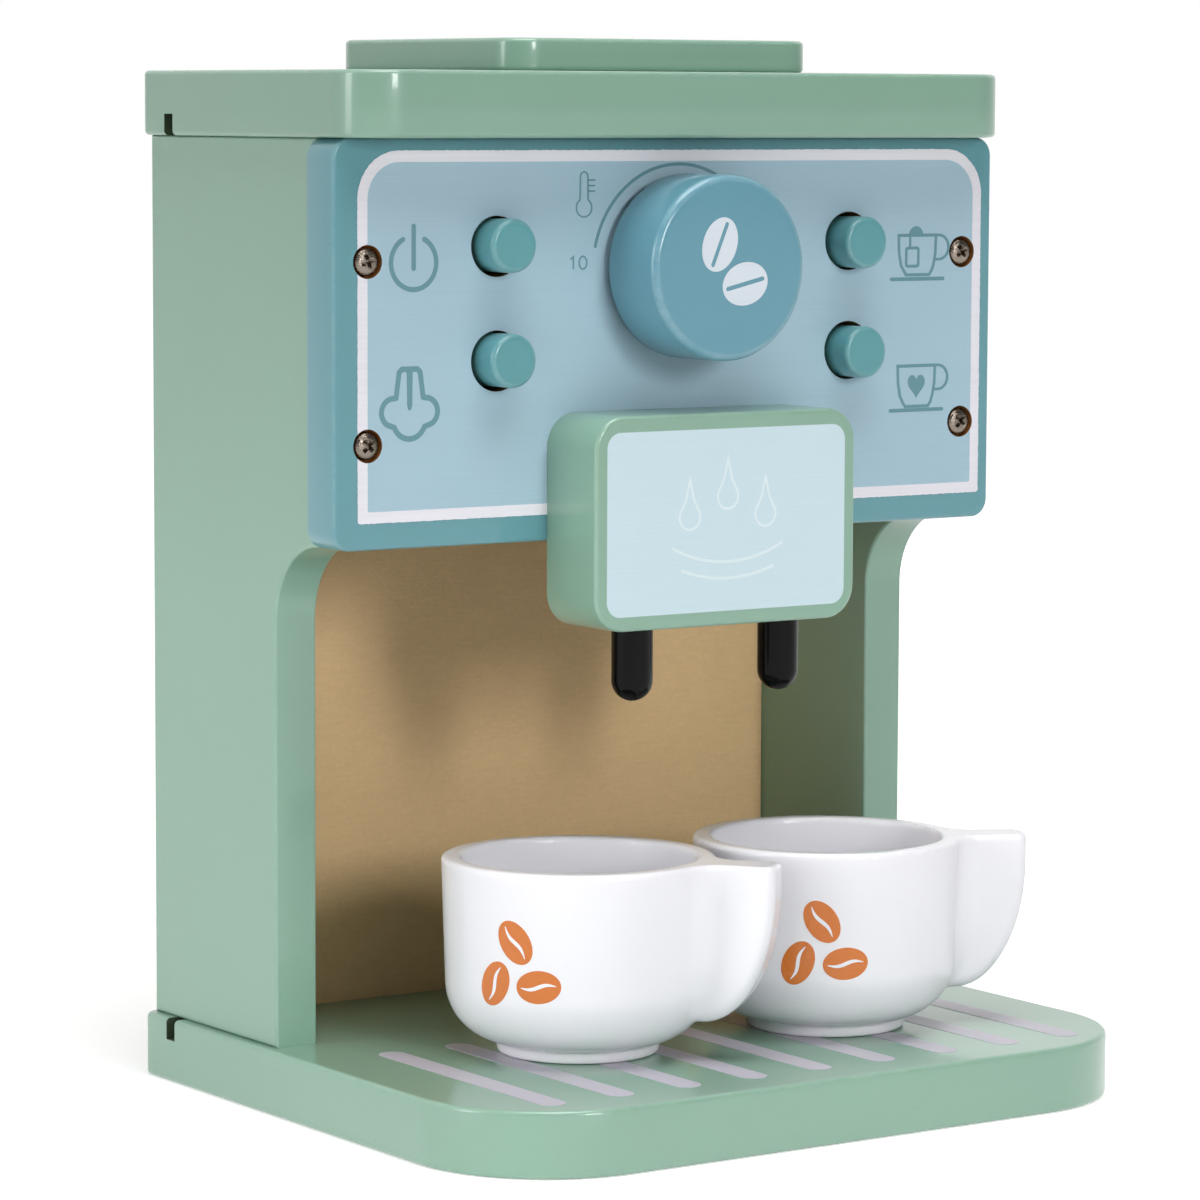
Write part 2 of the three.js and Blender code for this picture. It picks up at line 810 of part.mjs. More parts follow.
// Solid handle, a fin whose top lies level with the rim and whose lower edge curves in to the cup
function cupHandle() {
  const rimRadius = cupDiameter / 2;
  const tip = rimRadius + handleReach;
  const root = rimRadius - handleRootInset;
  const bottom = cupHeight - handleDepth;
  const shoulder = cupHeight - handleShoulder;
  const rise = shoulder - bottom;
  const meeting = rimRadius - cupTaper;
  const shape = new THREE.Shape();
  shape.moveTo(root, bottom);
  shape.lineTo(meeting, bottom);
  shape.absellipse(meeting, shoulder, tip - meeting, rise, -quarterTurn, 0, false, 0);
  shape.lineTo(tip, cupHeight - handleTipRound);
  shape.absarc(tip - handleTipRound, cupHeight - handleTipRound, handleTipRound, 0, quarterTurn, false);
  shape.lineTo(root, cupHeight);
  const fin = facingFront(slab(shape, handleThickness, handleEdgeRound, smallArcSegments));
  return fin.translate(0, handleThickness / 2, 0);
}

function cup() {
  const outside = solidOf(cupOutside()).add(solidOf(cupHandle()));
  return geometryOf(outside.subtract(solidOf(cupInside())));
}

// Housing
add('base_board', baseBoard(), 'sagePaint', 0, 0, 0, 0);
for (const [side, sign] of Object.entries(sides)) {
  add(`side_panel_${side}`, sidePanel(sign), 'sagePaint', sign * sideMiddleX, 0, 0, 0);
}
add('top_board', topBoard(), 'sagePaint', 0, 0, topUnderZ, 0);
add('back_panel', backPanel(), 'bareBoard', 0, backRearY, 0, 0);
add('front_board', frontBoard(), 'tealPaint', 0, frontRearY, 0, 0);
add('top_plate', topPlate(), 'sagePaint', 0, plateFrontY + plateDepth / 2, topUpperZ, 0);

// What joins the housing
for (const { name, x, y } of baseScrewPlaces()) {
  const length = baseThickness - baseScrewSink + baseScrewBite;
  const screw = countersunkScrew(baseScrewDiameter, baseScrewHeadDiameter, length);
  add(name, screw, 'steel', x, y, baseScrewSink, outOfUnderside);
}
for (const { name, x, y } of topDowelPlaces()) {
  add(name, dowel(-dowelInSide, dowelInTop), 'bareWood', x, y, topUnderZ, 0);
}
for (const [side, sign] of Object.entries(sides)) {
  const x = sign * plateDowelSpan / 2;
  const y = plateFrontY + plateDepth / 2;
  const pin = dowel(-plateDowelInTop, plateDowelInPlate);
  add(`plate_dowel_${side}`, pin, 'bareWood', x, y, topUpperZ, 0);
}
for (const [side, sign] of Object.entries(sides)) {
  for (const [row, height] of Object.entries(frontScrewHeights)) {
    const length = frontThickness - counterboreDepth + frontScrewBite;
    const screw = roundHeadScrew(screwDiameter, screwHeadDiameter, screwHeadHeight, length);
    const seatY = frontFaceY + counterboreDepth;
    add(`front_screw_${side}_${row}`, screw, 'steel', sign * frontScrewX, seatY, height, outOfFront);
  }
}

// Pouring block and spouts
add('spout_block', spoutBlock(), 'sagePaint', knobOffset, frontFaceY, 0, 0);
for (const [side, sign] of Object.entries(sides)) {
  const spoutTop = blockBottomZ + spoutSocketDepth;
  const spoutX = knobOffset + sign * spoutSpan / 2;
  add(`spout_${side}`, spout(), 'blackGloss', spoutX, spoutY, spoutTop, 0);
  const length = frontThickness + blockScrewBite;
  const screw = roundHeadScrew(screwDiameter, screwHeadDiameter, screwHeadHeight, length);
  const x = knobOffset + sign * blockScrewSpan / 2;
  add(`block_screw_${side}`, screw, 'steel', x, frontRearY, blockScrewZ, outOfBack);
}

// Knob, on a screw from behind with a nylon spacer in front of the board and a washer behind it
const knobRearY = frontFaceY - knobRearGap;
const washerY = frontRearY + runningGap;
const knobScrewSeatY = washerY + washerThickness + runningGap;
const knobScrewLength = knobScrewSeatY - knobRearY + knobScrewBite;
const knobBore = knobScrewDiameter + 2 * seatGap;
const knobScrew = roundHeadScrew(
  knobScrewDiameter,
  knobScrewHeadDiameter,
  knobScrewHeadHeight,
  knobScrewLength,
);
const spacer = ring(knobBore, spacerDiameter, spacerThickness, boreFacets);
const washer = ring(knobBore, washerDiameter, washerThickness, boreFacets);
add('control_knob', knob(), 'tealPaint', knobOffset, knobRearY, knobZ, outOfFront);
add('knob_spacer', spacer, 'nylon', knobOffset, frontFaceY - runningGap, knobZ, outOfFront);
add('knob_washer', washer, 'steel', knobOffset, washerY, knobZ, outOfBack);
add('knob_screw', knobScrew, 'steel', knobOffset, knobScrewSeatY, knobZ, outOfBack);

// Push buttons with their springs, in a block behind the front board on each side
for (const [side, sign] of Object.entries(sides)) {
  const x = sign * buttonX;
  const springFloorY = frontRearY + springBoreDepth;
  for (const [row, height] of Object.entries(buttonHeights)) {
    const buttonZ = height - sign * buttonLift;
    add(`button_${side}_${row}`, button(), 'buttonPaint', x + buttonHang, frontFaceY, buttonZ,
      outOfFront);
    const spring = buttonSpring();
    add(`button_spring_${side}_${row}`, spring, 'steel', x, springFloorY, height, outOfFront);
  }
  const housingY = frontRearY + housingDepth;
  add(`spring_housing_${side}`, springHousing(), 'bareWood', x, housingY, housingMiddleZ, 0);
  for (const [row, end] of [['upper', 1], ['lower', -1]]) {
    const seatY = housingY - housingScrewSink;
    const length = housingDepth - housingScrewSink + housingScrewBite;
    const screw = roundHeadScrew(screwDiameter, screwHeadDiameter, screwHeadHeight, length);
    const z = housingMiddleZ + end * housingScrewSpan / 2;
    add(`housing_screw_${side}_${row}`, screw, 'steel', x, seatY, z, outOfBack);
  }
}

// Cups, each with its handle turned its own way
const cupPitch = cupDiameter + cupGap;
const cups = [
  ['cup_left', cupGapOffset - cupPitch / 2, spoutY + leftCupBehind, leftCupDegrees],
  ['cup_right', cupGapOffset + cupPitch / 2, spoutY - rightCupBefore, rightCupDegrees],
];
for (const [name, x, y, degrees] of cups) {
  const mesh = add(name, cup(), 'whiteGlaze', x, y, baseThickness, 0);
  mesh.rotation.z = THREE.MathUtils.degToRad(degrees);
}

export default group;
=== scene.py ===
# %% [markdown]
# # A wooden toy coffee maker, dressed piece by piece
# The solids of this toy come from a CAD model that was packed beforehand. They fix every size and
# every joint. Each cell below builds one finer piece round them, so the numbers repeat the CAD
# model's sizes in millimetres, and one helper turns them into Blender's metres.

# %% The frame
import json
import math
import random
from functools import partial

import bpy
import numpy as np
from mathutils import Matrix, Vector
from mathutils.geometry import tessellate_polygon

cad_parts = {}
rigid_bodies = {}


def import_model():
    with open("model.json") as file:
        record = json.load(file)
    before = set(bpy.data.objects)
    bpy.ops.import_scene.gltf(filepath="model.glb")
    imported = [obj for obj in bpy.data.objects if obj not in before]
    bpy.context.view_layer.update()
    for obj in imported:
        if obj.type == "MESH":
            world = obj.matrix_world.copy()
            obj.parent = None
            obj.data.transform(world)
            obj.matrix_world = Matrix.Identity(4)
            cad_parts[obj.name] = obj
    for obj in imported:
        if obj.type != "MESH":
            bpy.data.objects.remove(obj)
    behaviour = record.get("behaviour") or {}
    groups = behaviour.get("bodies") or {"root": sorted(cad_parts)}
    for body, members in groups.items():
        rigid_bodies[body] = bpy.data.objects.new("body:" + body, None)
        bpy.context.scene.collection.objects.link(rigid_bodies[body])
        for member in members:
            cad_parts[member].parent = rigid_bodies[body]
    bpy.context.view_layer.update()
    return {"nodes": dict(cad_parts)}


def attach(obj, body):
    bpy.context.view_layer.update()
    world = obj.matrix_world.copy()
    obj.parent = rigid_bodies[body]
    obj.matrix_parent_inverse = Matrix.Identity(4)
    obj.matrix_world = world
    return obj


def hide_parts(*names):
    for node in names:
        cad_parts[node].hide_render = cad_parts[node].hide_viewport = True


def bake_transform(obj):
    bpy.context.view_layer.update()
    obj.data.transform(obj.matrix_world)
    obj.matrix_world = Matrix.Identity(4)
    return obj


for left_over in list(bpy.data.objects):
    bpy.data.objects.remove(left_over)
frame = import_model()
nodes = frame["nodes"]

# %% [markdown]
# ## The camera
# The camera is made first, because every choice after it is judged through it. Its place was found
# from the corners of the boards: two edges of known length in three directions are enough. A long
# lens from almost a metre away keeps the boards nearly parallel.

# %% The camera
MM = 0.001
PICTURE_SIDE, SENSOR, FOCAL_PIXELS = 1200, 36.0, 4876.06
CAMERA_PLACE = Vector((-520.563, -742.042, 184.132)) * MM
CAMERA_AXES = Matrix(((0.824791, -0.565424, 0.003992),
                      (0.053965, 0.085744, 0.994855),
                      (-0.562857, -0.820331, 0.101234)))


def in_scene(name, data):
    """A new object that stands in the scene."""
    item = bpy.data.objects.new(name, data)
    bpy.context.scene.collection.objects.link(item)
    return item


lens = bpy.data.cameras.new("studio_camera")
lens.sensor_width, lens.lens = SENSOR, SENSOR * FOCAL_PIXELS / PICTURE_SIDE
lens.clip_start, lens.clip_end = 0.05, 50
studio_camera = in_scene("studio_camera", lens)
studio_camera.matrix_world = Matrix.Translation(CAMERA_PLACE) @ CAMERA_AXES.transposed().to_4x4()
bpy.context.scene.camera = studio_camera
print("lens", round(lens.lens, 2), "mm")

# %% [markdown]
# ## Colours and node trees
# Paint makers give a colour as three numbers up to 255, and Blender wants light in linear steps,
# so one helper converts. The others add a node and join its inputs. A sum finds its tree from the
# socket that it starts with, so the materials below read almost like arithmetic.

# %% Helpers for node trees
def tint(red, green, blue):
    """A colour of 0 to 255 steps as the linear colour that a node wants."""
    shares = (step / 255 for step in (red, green, blue))
    return (*[share / 12.92 if share <= 0.04045 else ((share + 0.055) / 1.055) ** 2.4
              for share in shares], 1.0)


def feed(socket, value):
    """Gives an input a plain value, or joins it to a socket or to a node's first output."""
    if isinstance(value, bpy.types.Node):
        value = value.outputs[0]
    if isinstance(value, bpy.types.NodeSocket):
        socket.id_data.links.new(value, socket)
    else:
        socket.default_value = value


def add(tree, kind, settings=None, *inputs, **named):
    """A node of a kind, with its settings and its inputs, by order or by name."""
    node = tree.nodes.new(kind)
    for key, value in (settings or {}).items():
        setattr(node, key, value)
    for socket, value in zip(node.inputs, inputs):
        feed(socket, value)
    for key, value in named.items():
        wanted = key.replace("_", " ").lower()
        feed(next(s for s in node.inputs if s.name.lower() == wanted and s.enabled), value)
    return node


def empty_tree(owner):
    """The emptied node tree of a new material or sky."""
    owner.use_nodes = True
    owner.node_tree.nodes.clear()
    return owner.node_tree


def maths(operation, first, second, clamp=False):
    """One sum on a socket and on another socket or number."""
    settings = {"operation": operation, "use_clamp": clamp}
    return add(first.id_data, "ShaderNodeMath", settings, first, second)


plus, minus, times = (partial(maths, name) for name in ("ADD", "SUBTRACT", "MULTIPLY"))


def mixed(share, first, second):
    """A colour between two, by a share from 0 to 1."""
    node = add(share.id_data, "ShaderNodeMix", {"data_type": "RGBA"}, share)
    feed(node.inputs[6], first)
    feed(node.inputs[7], second)
    return node.outputs[2]


def ranged(value, low, high, to_low=0.0, to_high=1.0):
    """A value stretched from one range to another, and held inside it."""
    return add(value.id_data, "ShaderNodeMapRange", Value=value, From_Min=low, From_Max=high,
               To_Min=to_low, To_Max=to_high)


def noise(place, scale, detail=2.0, roughness=0.5):
    """Soft noise, at so many waves a metre. Three numbers make a pattern that runs one way."""
    if isinstance(scale, tuple):
        place, scale = add(place.id_data, "ShaderNodeMapping", Vector=place, Scale=scale), 1.0
    return add(place.id_data, "ShaderNodeTexNoise", Vector=place, Scale=scale, Detail=detail,
               Roughness=roughness)


def swing(place, scale, detail=2.0, roughness=0.5):
    """The same noise as a value that swings between -1 and 1."""
    return ranged(noise(place, scale, detail, roughness), 0.3, 0.7, -1)


def toned(colour, change):
    """A colour made a little lighter or darker by a changing value."""
    return add(change.id_data, "ShaderNodeHueSaturation", Value=plus(change, 1.0), Color=colour)


print("half grey in linear light:", round(tint(128, 128, 128)[0], 3))

# %% Opening and ending a shader group
COLOUR, NUMBER = "NodeSocketColor", "NodeSocketFloat"


def effect(name, colour, **numbers):
    """An empty shader group: its tree, its named inputs and the place on the object."""
    tree = bpy.data.node_groups.new(name, "ShaderNodeTree")
    tree.interface.new_socket(colour, in_out="INPUT", socket_type=COLOUR)
    for key, value in numbers.items():
        socket = tree.interface.new_socket(key.replace("_", " "), in_out="INPUT",
                                           socket_type=NUMBER)
        socket.default_value = value
    for key, kind in (("Colour", COLOUR), ("Roughness", NUMBER), ("Height", NUMBER)):
        tree.interface.new_socket(key, in_out="OUTPUT", socket_type=kind)
    given = tree.nodes.new("NodeGroupInput").outputs
    return tree, given, add(tree, "ShaderNodeTexCoord").outputs["Object"]


def put_out(tree, colour, roughness, height):
    """Ends a group with its three results."""
    add(tree, "NodeGroupOutput", None, colour, roughness, height)
    print(tree.name, "has", len(tree.nodes), "nodes")


# %% [markdown]
# ## Sprayed paint
# The boards are fibreboard, sprayed with two coats of satin paint. Sprayed paint is never one flat
# colour: it has soft clouds where the coat is thicker, a fine orange peel in its gloss and a few
# dust specks. Along the rounded edges it is made a little lighter, partly as thin, worn paint and
# partly as a painted highlight. An image could hold this, but noise in a node group fits every
# board at the same scale, so one group serves all the paints.

# %% The paint's node group
paint_effect, given, place = effect("sprayed_paint", "Paint", Clouds=0.05, Edge_Wear=0.1,
                                    Gloss_Roughness=0.35, Specks=0.3)
clouds = ranged(noise(place, 38, 3), 0.32, 0.68, -1)
grain = swing(place, 420, 3, 0.6)
tone = plus(times(clouds, given["Clouds"]), times(grain, times(given["Clouds"], 0.45)))
edge = add(paint_effect, "ShaderNodeAttribute", {"attribute_name": "edge"}).outputs["Fac"]
# Wear with a painted highlight: the rounded edges are mixed towards a pale green, as thin paint and
# as the lamps' sheen on them.
worn_and_sheen = times(edge, ranged(noise(place, 260, 4, 0.7), 0.35, 0.65))
worn_and_sheen = times(worn_and_sheen, given["Edge Wear"], True)
lightened = mixed(worn_and_sheen, toned(given["Paint"], tone), (0.86, 0.93, 0.88, 1))
speck = add(paint_effect, "ShaderNodeTexVoronoi", Vector=place, Scale=190.0, Randomness=1.0)
chance = add(paint_effect, "ShaderNodeSeparateColor", Color=speck.outputs["Color"])
speck_mask = times(ranged(speck.outputs["Distance"], 0.035, 0.055, 1, 0),
                   ranged(chance, 0.86, 0.87))
dusty = mixed(times(speck_mask, given["Specks"]), lightened, (0.10, 0.13, 0.10, 1))
rough = plus(given["Gloss Roughness"], ranged(clouds, -1, 1, -0.02, 0.02))
peel = plus(noise(place, 900, 1.5), times(noise(place, 2600), 0.25))
put_out(paint_effect, dusty, plus(rough, times(worn_and_sheen, 0.1)), plus(peel, speck_mask))

# %% [markdown]
# ## Screen print
# The light field, the white line round it and the small drawings are ink pushed through a mesh
# screen. The screen leaves faint parallel lines and the ink has a dry, slightly uneven face. Bands
# of noise that are much longer than they are high give both.

# %% The print's node group
print_effect, given, place = effect("screen_print", "Ink", Lines=0.03, Dryness=0.45)
streaks = swing(place, (35, 35, 2300), 3, 0.6)
tone = times(plus(streaks, swing(place, 30)), given["Lines"])
put_out(print_effect, toned(given["Ink"], tone),
        plus(given["Dryness"], ranged(streaks, -1, 1, -0.06, 0.06)),
        plus(streaks, noise(place, 1500)))

# %% [markdown]
# ## Bare fibreboard and bare wood
# The thin back board was never painted, and the saw cuts and screw holes show the same brown fibre.
# Fibreboard is short fibres pressed flat, so it shows fine specks in light and dark, with soft
# stains. The dowels and spring blocks are beech, with long streaks and short dark pores.

# %% The fibreboard's node group
fibre_effect, given, place = effect("pressed_fibre", "Fibre", Contrast=0.2)
fine = swing(place, 1300, 4, 0.7)
hairs = swing(place, (260, 900, 1500), 4, 0.65)
stains = swing(place, 26, 3)
tone = plus(times(fine, 0.5), plus(times(hairs, 0.5), times(stains, 0.25)))
put_out(fibre_effect, toned(given["Fibre"], times(tone, given["Contrast"])),
        ranged(fine, -1, 1, 0.62, 0.8), plus(fine, hairs))

# %% The beech's node group
beech_effect, given, place = effect("turned_beech", "Wood", Streaks=0.12)
rings = swing(place, (420, 420, 24), 3)
pores = ranged(noise(place, (2600, 2600, 190)), 0.62, 0.72)
wood = toned(given["Wood"], times(rings, given["Streaks"]))
put_out(beech_effect, mixed(times(pores, 0.5), wood, (0.22, 0.12, 0.05, 1)),
        ranged(rings, -1, 1, 0.5, 0.65), minus(rings, pores))

# %% [markdown]
# ## Metal and lacquer
# Screws and springs are plated steel: bright, with fine scratches that turn with the tool. The cups
# and the spouts are dipped in lacquer, which lies almost smooth and only wavers slightly. Both need
# little colour change and a finer change of gloss, so they share one group.

# %% The smooth finish's node group
smooth_effect, given, place = effect("smooth_coat", "Coat", Variation=0.02, Gloss_Roughness=0.15,
                                     Scratches=0.0, Ripple_Scale=120)
gloss, scratches = given["Gloss Roughness"], given["Scratches"]
soft = swing(place, 60, 3)
scratch = swing(place, (500, 500, 6000), 3, 0.7)
tone = plus(times(soft, given["Variation"]), times(scratch, times(scratches, 0.15)))
rough = plus(plus(gloss, times(soft, times(gloss, 0.2))), times(scratch, times(scratches, 0.1)))
put_out(smooth_effect, toned(given["Coat"], tone), rough,
        plus(noise(place, given["Ripple Scale"]), times(scratch, scratches)))

# %% [markdown]
# ## The materials
# Each material is one Principled shader fed by one of the groups: colour and roughness from the
# group, and its height through a Bump node. What is the same all over a surface, such as metal,
# specular level or coat, is set on the shader's own socket, where an export can still read it.

# %% The material maker
def finish_of(name, group, colour, numbers, bump, strength, **shader_values):
    """A material with one Principled shader whose changing values come from a group."""
    material = bpy.data.materials.new(name)
    tree = empty_tree(material)
    source = add(tree, "ShaderNodeGroup", {"node_tree": group}, tint(*colour), *numbers)
    relief = add(tree, "ShaderNodeBump", Strength=strength, Distance=bump,
                 Height=source.outputs["Height"])
    shader = add(tree, "ShaderNodeBsdfPrincipled", Base_Color=source.outputs["Colour"],
                 Roughness=source.outputs["Roughness"], Normal=relief, **shader_values)
    add(tree, "ShaderNodeOutputMaterial", Surface=shader)
    return material


def painted(name, colour, clouds=0.012, wear_and_sheen=0.06, roughness=0.35, specks=0.4):
    """Satin paint of one colour."""
    return finish_of(name, paint_effect, colour, (clouds, wear_and_sheen, roughness, specks), 0.00003, 0.12,
                     Specular_IOR_Level=0.4, Coat_Weight=0.6, Coat_Roughness=0.07)


def printed(name, colour, lines=0.02, dryness=0.45):
    """Screen ink of one colour."""
    return finish_of(name, print_effect, colour, (lines, dryness), 0.00003, 0.25,
                     Specular_IOR_Level=0.45)


def fibrous(name, colour, contrast=0.3):
    """Bare fibreboard of one colour."""
    return finish_of(name, fibre_effect, colour, (contrast,), 0.00006, 0.4,
                     Specular_IOR_Level=0.25)


def coated(name, colour, variation, roughness, scratches, ripple, strength, **more):
    """A smooth coat or metal of one colour."""
    return finish_of(name, smooth_effect, colour, (variation, roughness, scratches, ripple),
                     0.00005, strength, **more)


# %% The materials of this toy
sage_paint = painted("sage_paint", (131, 167, 147))
teal_paint = painted("teal_paint", (94, 148, 157))
# The knob and the buttons get more of the lighter edge: wear with a painted highlight on their
# rims.
knob_paint = painted("knob_paint", (96, 149, 166), 0.012, 0.08, 0.4)
button_paint = painted("button_paint", (84, 148, 154), 0.015, 0.08, 0.4)
# The saw cuts' walls: fibre under green overspray, darkened further as painted shade in the narrow
# slot.
shaded_sage_cut = fibrous("shaded_sage_cut", (66, 82, 60))
fibre_cut = fibrous("fibre_cut", (150, 98, 48))
bare_hardboard = fibrous("bare_hardboard", (224, 190, 143), 0.07)
bare_beech = finish_of("bare_beech", beech_effect, (214, 178, 130), (0.08,), 0.00006, 0.3,
                       Specular_IOR_Level=0.3)
black_gloss = coated("black_gloss", (6, 6, 6), 0.2, 0.2, 0.0, 160.0, 0.08,
                     Specular_IOR_Level=0.12)
white_lacquer = coated("white_lacquer", (232, 231, 236), 0.006, 0.2, 0.0, 90.0, 0.12,
                       Specular_IOR_Level=0.45)
screw_steel = coated("screw_steel", (132, 122, 112), 0.1, 0.24, 0.7, 900.0, 0.4, Metallic=1.0)
spring_steel = coated("spring_steel", (186, 184, 180), 0.06, 0.22, 0.4, 700.0, 0.2, Metallic=1.0)
nylon = coated("nylon", (222, 218, 208), 0.02, 0.45, 0.3, 400.0, 0.2)
field_ink = printed("field_ink", (163, 191, 205), 0.014)
white_ink = printed("white_ink", (226, 224, 231), 0.03, 0.5)
teal_ink = printed("teal_ink", (99, 143, 153))
label_ink = printed("label_ink", (197, 217, 225), 0.008, 0.42)
label_line = printed("label_line", (214, 228, 232), dryness=0.5)
slat_ink = printed("slat_ink", (184, 180, 191), dryness=0.36)
badge_ink = coated("badge_ink", (206, 114, 42), 0.03, 0.25, 0.0, 200.0, 0.05)
bean_ink = printed("bean_ink", (213, 221, 229))
print("materials:", len(bpy.data.materials))

# %% [markdown]
# ## A rounded board in mesh code
# Every board here is a flat outline with a thickness and softly rounded edges, pierced by holes. A
# bevel modifier could round a cut-out box, but it struggles where holes, curves and corners meet.
# So the board is built as rings: the same outline, drawn in by a little less at each step, gives a
# true quarter round. A last ring just inside each flat face keeps the face's shading flat.

# %% Outlines
UP = lambda u, v, w: (u, v, w)
FRONT = lambda u, v, w: (u, -w, v)
SIDE = lambda u, v, w: (w, u, v)


def arc(centre, radius, start, end, steps):
    """Points on an arc, in degrees."""
    turns = np.radians(np.linspace(start, end, steps + 1))
    return np.stack([centre[0] + radius * np.cos(turns), centre[1] + radius * np.sin(turns)], 1)


def tilted(centre, flat, degrees):
    """Flat points turned round zero and then moved to a centre."""
    cos, sin = math.cos(math.radians(degrees)), math.sin(math.radians(degrees))
    return np.array(centre) + flat @ np.array([(cos, sin), (-sin, cos)])


def oval(centre, wide, high, steps, degrees=0):
    """Points round an oval with two half widths, tilted by some degrees."""
    turns = np.linspace(0, 2 * math.pi, steps, endpoint=False)
    return tilted(centre, np.stack([wide * np.cos(turns), high * np.sin(turns)], 1), degrees)


def rounded_outline(left, right, low, high, low_radius, high_radius, steps=12):
    """A rectangle with rounded corners, counter-clockwise."""
    return np.concatenate([
        arc((right - low_radius, low + low_radius), low_radius, -90, 0, steps),
        arc((right - high_radius, high - high_radius), high_radius, 0, 90, steps),
        arc((left + high_radius, high - high_radius), high_radius, 90, 180, steps),
        arc((left + low_radius, low + low_radius), low_radius, 180, 270, steps)])


def inward(outline):
    """For each corner of an outline, the step inwards that moves both its edges in by one."""
    ahead = np.roll(outline, -1, 0) - outline
    ahead /= np.linalg.norm(ahead, axis=1)[:, None]
    normal = np.stack([-ahead[:, 1], ahead[:, 0]], 1)
    before = np.roll(normal, 1, 0)
    return (normal + before) / (1 + (normal * before).sum(1))[:, None]


def around(count):
    """The steps along a closed ring, each as the numbers of its two ends."""
    return [(i, (i + 1) % count) for i in range(count)]


def filled(loops, upward=True, level=0):
    """Triangles between flat loops: the first is the outline, the others are openings."""
    corners = np.concatenate(loops)
    flat = [[Vector((u, v, level)) for u, v in loop] for loop in loops]
    triangles = []
    for a, b, c in tessellate_polygon(flat):
        area = np.cross(corners[b] - corners[a], corners[c] - corners[a])
        if abs(area) > 1e-9:
            triangles.append((a, b, c) if (area > 0) == upward else (a, c, b))
    return triangles


print("a square is filled by", len(filled([[(0, 0), (1, 0), (1, 1), (0, 1)]])), "triangles")

# %% A board's mesh
FLAT_RING = 1.25


def board_mesh(outline, low, high, edge, holes=(), steps=6, low_edge=None):
    """Points, faces, kinds (0 finish, 1 cut) and wear with painted sheen of a board with round
    edges.

    A hole goes right through: its centre, its rings as (radius, level) from the face it opens on,
    and its number of steps."""
    def rim(radius, face, way):
        return [(radius * FLAT_RING, face, 0.0)] + [
            (radius * (1 - math.sin(a)), face + way * radius * (1 - math.cos(a)), math.sin(2 * a))
            for a in np.linspace(0, math.pi / 2, steps + 1)]

    step_in, count = inward(outline), len(outline)
    points, faces, wear_and_sheen = [], [], []
    for inset, level, worn_and_sheen in rim(low_edge or edge, low, 1) + rim(edge, high, -1)[::-1]:
        points += [(u, v, level) for u, v in outline + step_in * inset]
        wear_and_sheen += [worn_and_sheen] * count
    for a in range(0, len(points) - count, count):
        faces += [(a + i, a + j, a + count + j, a + count + i) for i, j in around(count)]
    kinds = [0] * len(faces)
    loops = {False: [range(count)], True: [range(len(points) - count, len(points))]}
    for centre, stations, hole_steps in holes:
        top = stations[0][1] > stations[-1][1]
        rows = []
        for radius, level in stations:
            rows.append(range(len(points), len(points) + hole_steps))
            points += [(u, v, level) for u, v in oval(centre, radius, radius, hole_steps)]
        for outer, inner in zip(rows, rows[1:]):
            wall = [(inner[i], outer[i], outer[j], inner[j]) for i, j in around(hole_steps)]
            faces += wall if top else [quad[::-1] for quad in wall]
        loops[top].append(rows[0])
        loops[not top].append(rows[-1])
    kinds += [1] * (len(faces) - len(kinds))
    for top, cap in loops.items():
        index = [i for loop in cap for i in loop]
        flat = [[points[i][:2] for i in loop] for loop in cap]
        faces += [tuple(index[k] for k in triangle)
                  for triangle in filled(flat, top, high if top else low)]
    kinds += [0] * (len(faces) - len(kinds))
    return points, faces, kinds, wear_and_sheen + [0.0] * (len(points) - len(wear_and_sheen))


# %% Pieces and cuts
SHARP = 35


def piece_from(name, shape, materials, basis=UP, move=(0, 0, 0), sharp=SHARP):
    """A finished object in metres from a mesh in millimetres, smooth but for its sharp edges."""
    points, faces, kinds, wear_and_sheen = (*shape, [0] * len(shape[1]), [0.0] * len(shape[0]))[:4]
    mesh = bpy.data.meshes.new(name)
    mesh.from_pydata([tuple(np.add(basis(*point), move) * MM) for point in points], [], faces)
    mesh.polygons.foreach_set("material_index", kinds)
    mesh.polygons.foreach_set("use_smooth", [True] * len(faces))
    mesh.attributes.new("edge", "FLOAT", "POINT").data.foreach_set("value", wear_and_sheen)
    for material in materials:
        mesh.materials.append(material)
    mesh.update()
    mesh.validate()
    mesh.set_sharp_from_angle(angle=math.radians(sharp))
    return in_scene(name, mesh)


def fit(piece, body, slot, *replaced):
    """Rides a piece on its body and lets it stand for CAD nodes. Its slot is not used."""
    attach(piece, body)
    if replaced:
        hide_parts(*replaced)
    corners = np.array([v.co for v in piece.data.vertices]) / MM
    print(f"{piece.name}: {len(piece.data.polygons)} faces, "
          f"{corners.min(0).round(1)} to {corners.max(0).round(1)} mm")


def settled(item):
    """Turns what an object's modifiers make into its own plain mesh."""
    graph = bpy.context.evaluated_depsgraph_get()
    mesh = bpy.data.meshes.new_from_object(item.evaluated_get(graph))
    item.modifiers.clear()
    item.data = mesh
    return mesh


def carve(piece, *cutters):
    """Cuts closed shapes out of a piece, whose new faces keep the cutters' materials."""
    for cutter in cutters:
        work = piece.modifiers.new("carve", "BOOLEAN")
        work.operation, work.solver, work.object = "DIFFERENCE", "EXACT", cutter
        work.material_mode = "TRANSFER"
    settled(piece).set_sharp_from_angle(angle=math.radians(SHARP))
    for cutter in cutters:
        bpy.data.objects.remove(cutter)


def prism(low_ring, high_ring, low, high):
    """A closed shape between two rings at two heights, used only to cut with."""
    count = len(low_ring)
    points = [(u, v, low) for u, v in low_ring] + [(u, v, high) for u, v in high_ring]
    faces = [tuple(range(count))[::-1], tuple(range(count, 2 * count))]
    return points, faces + [(i, j, count + j, count + i) for i, j in around(count)]
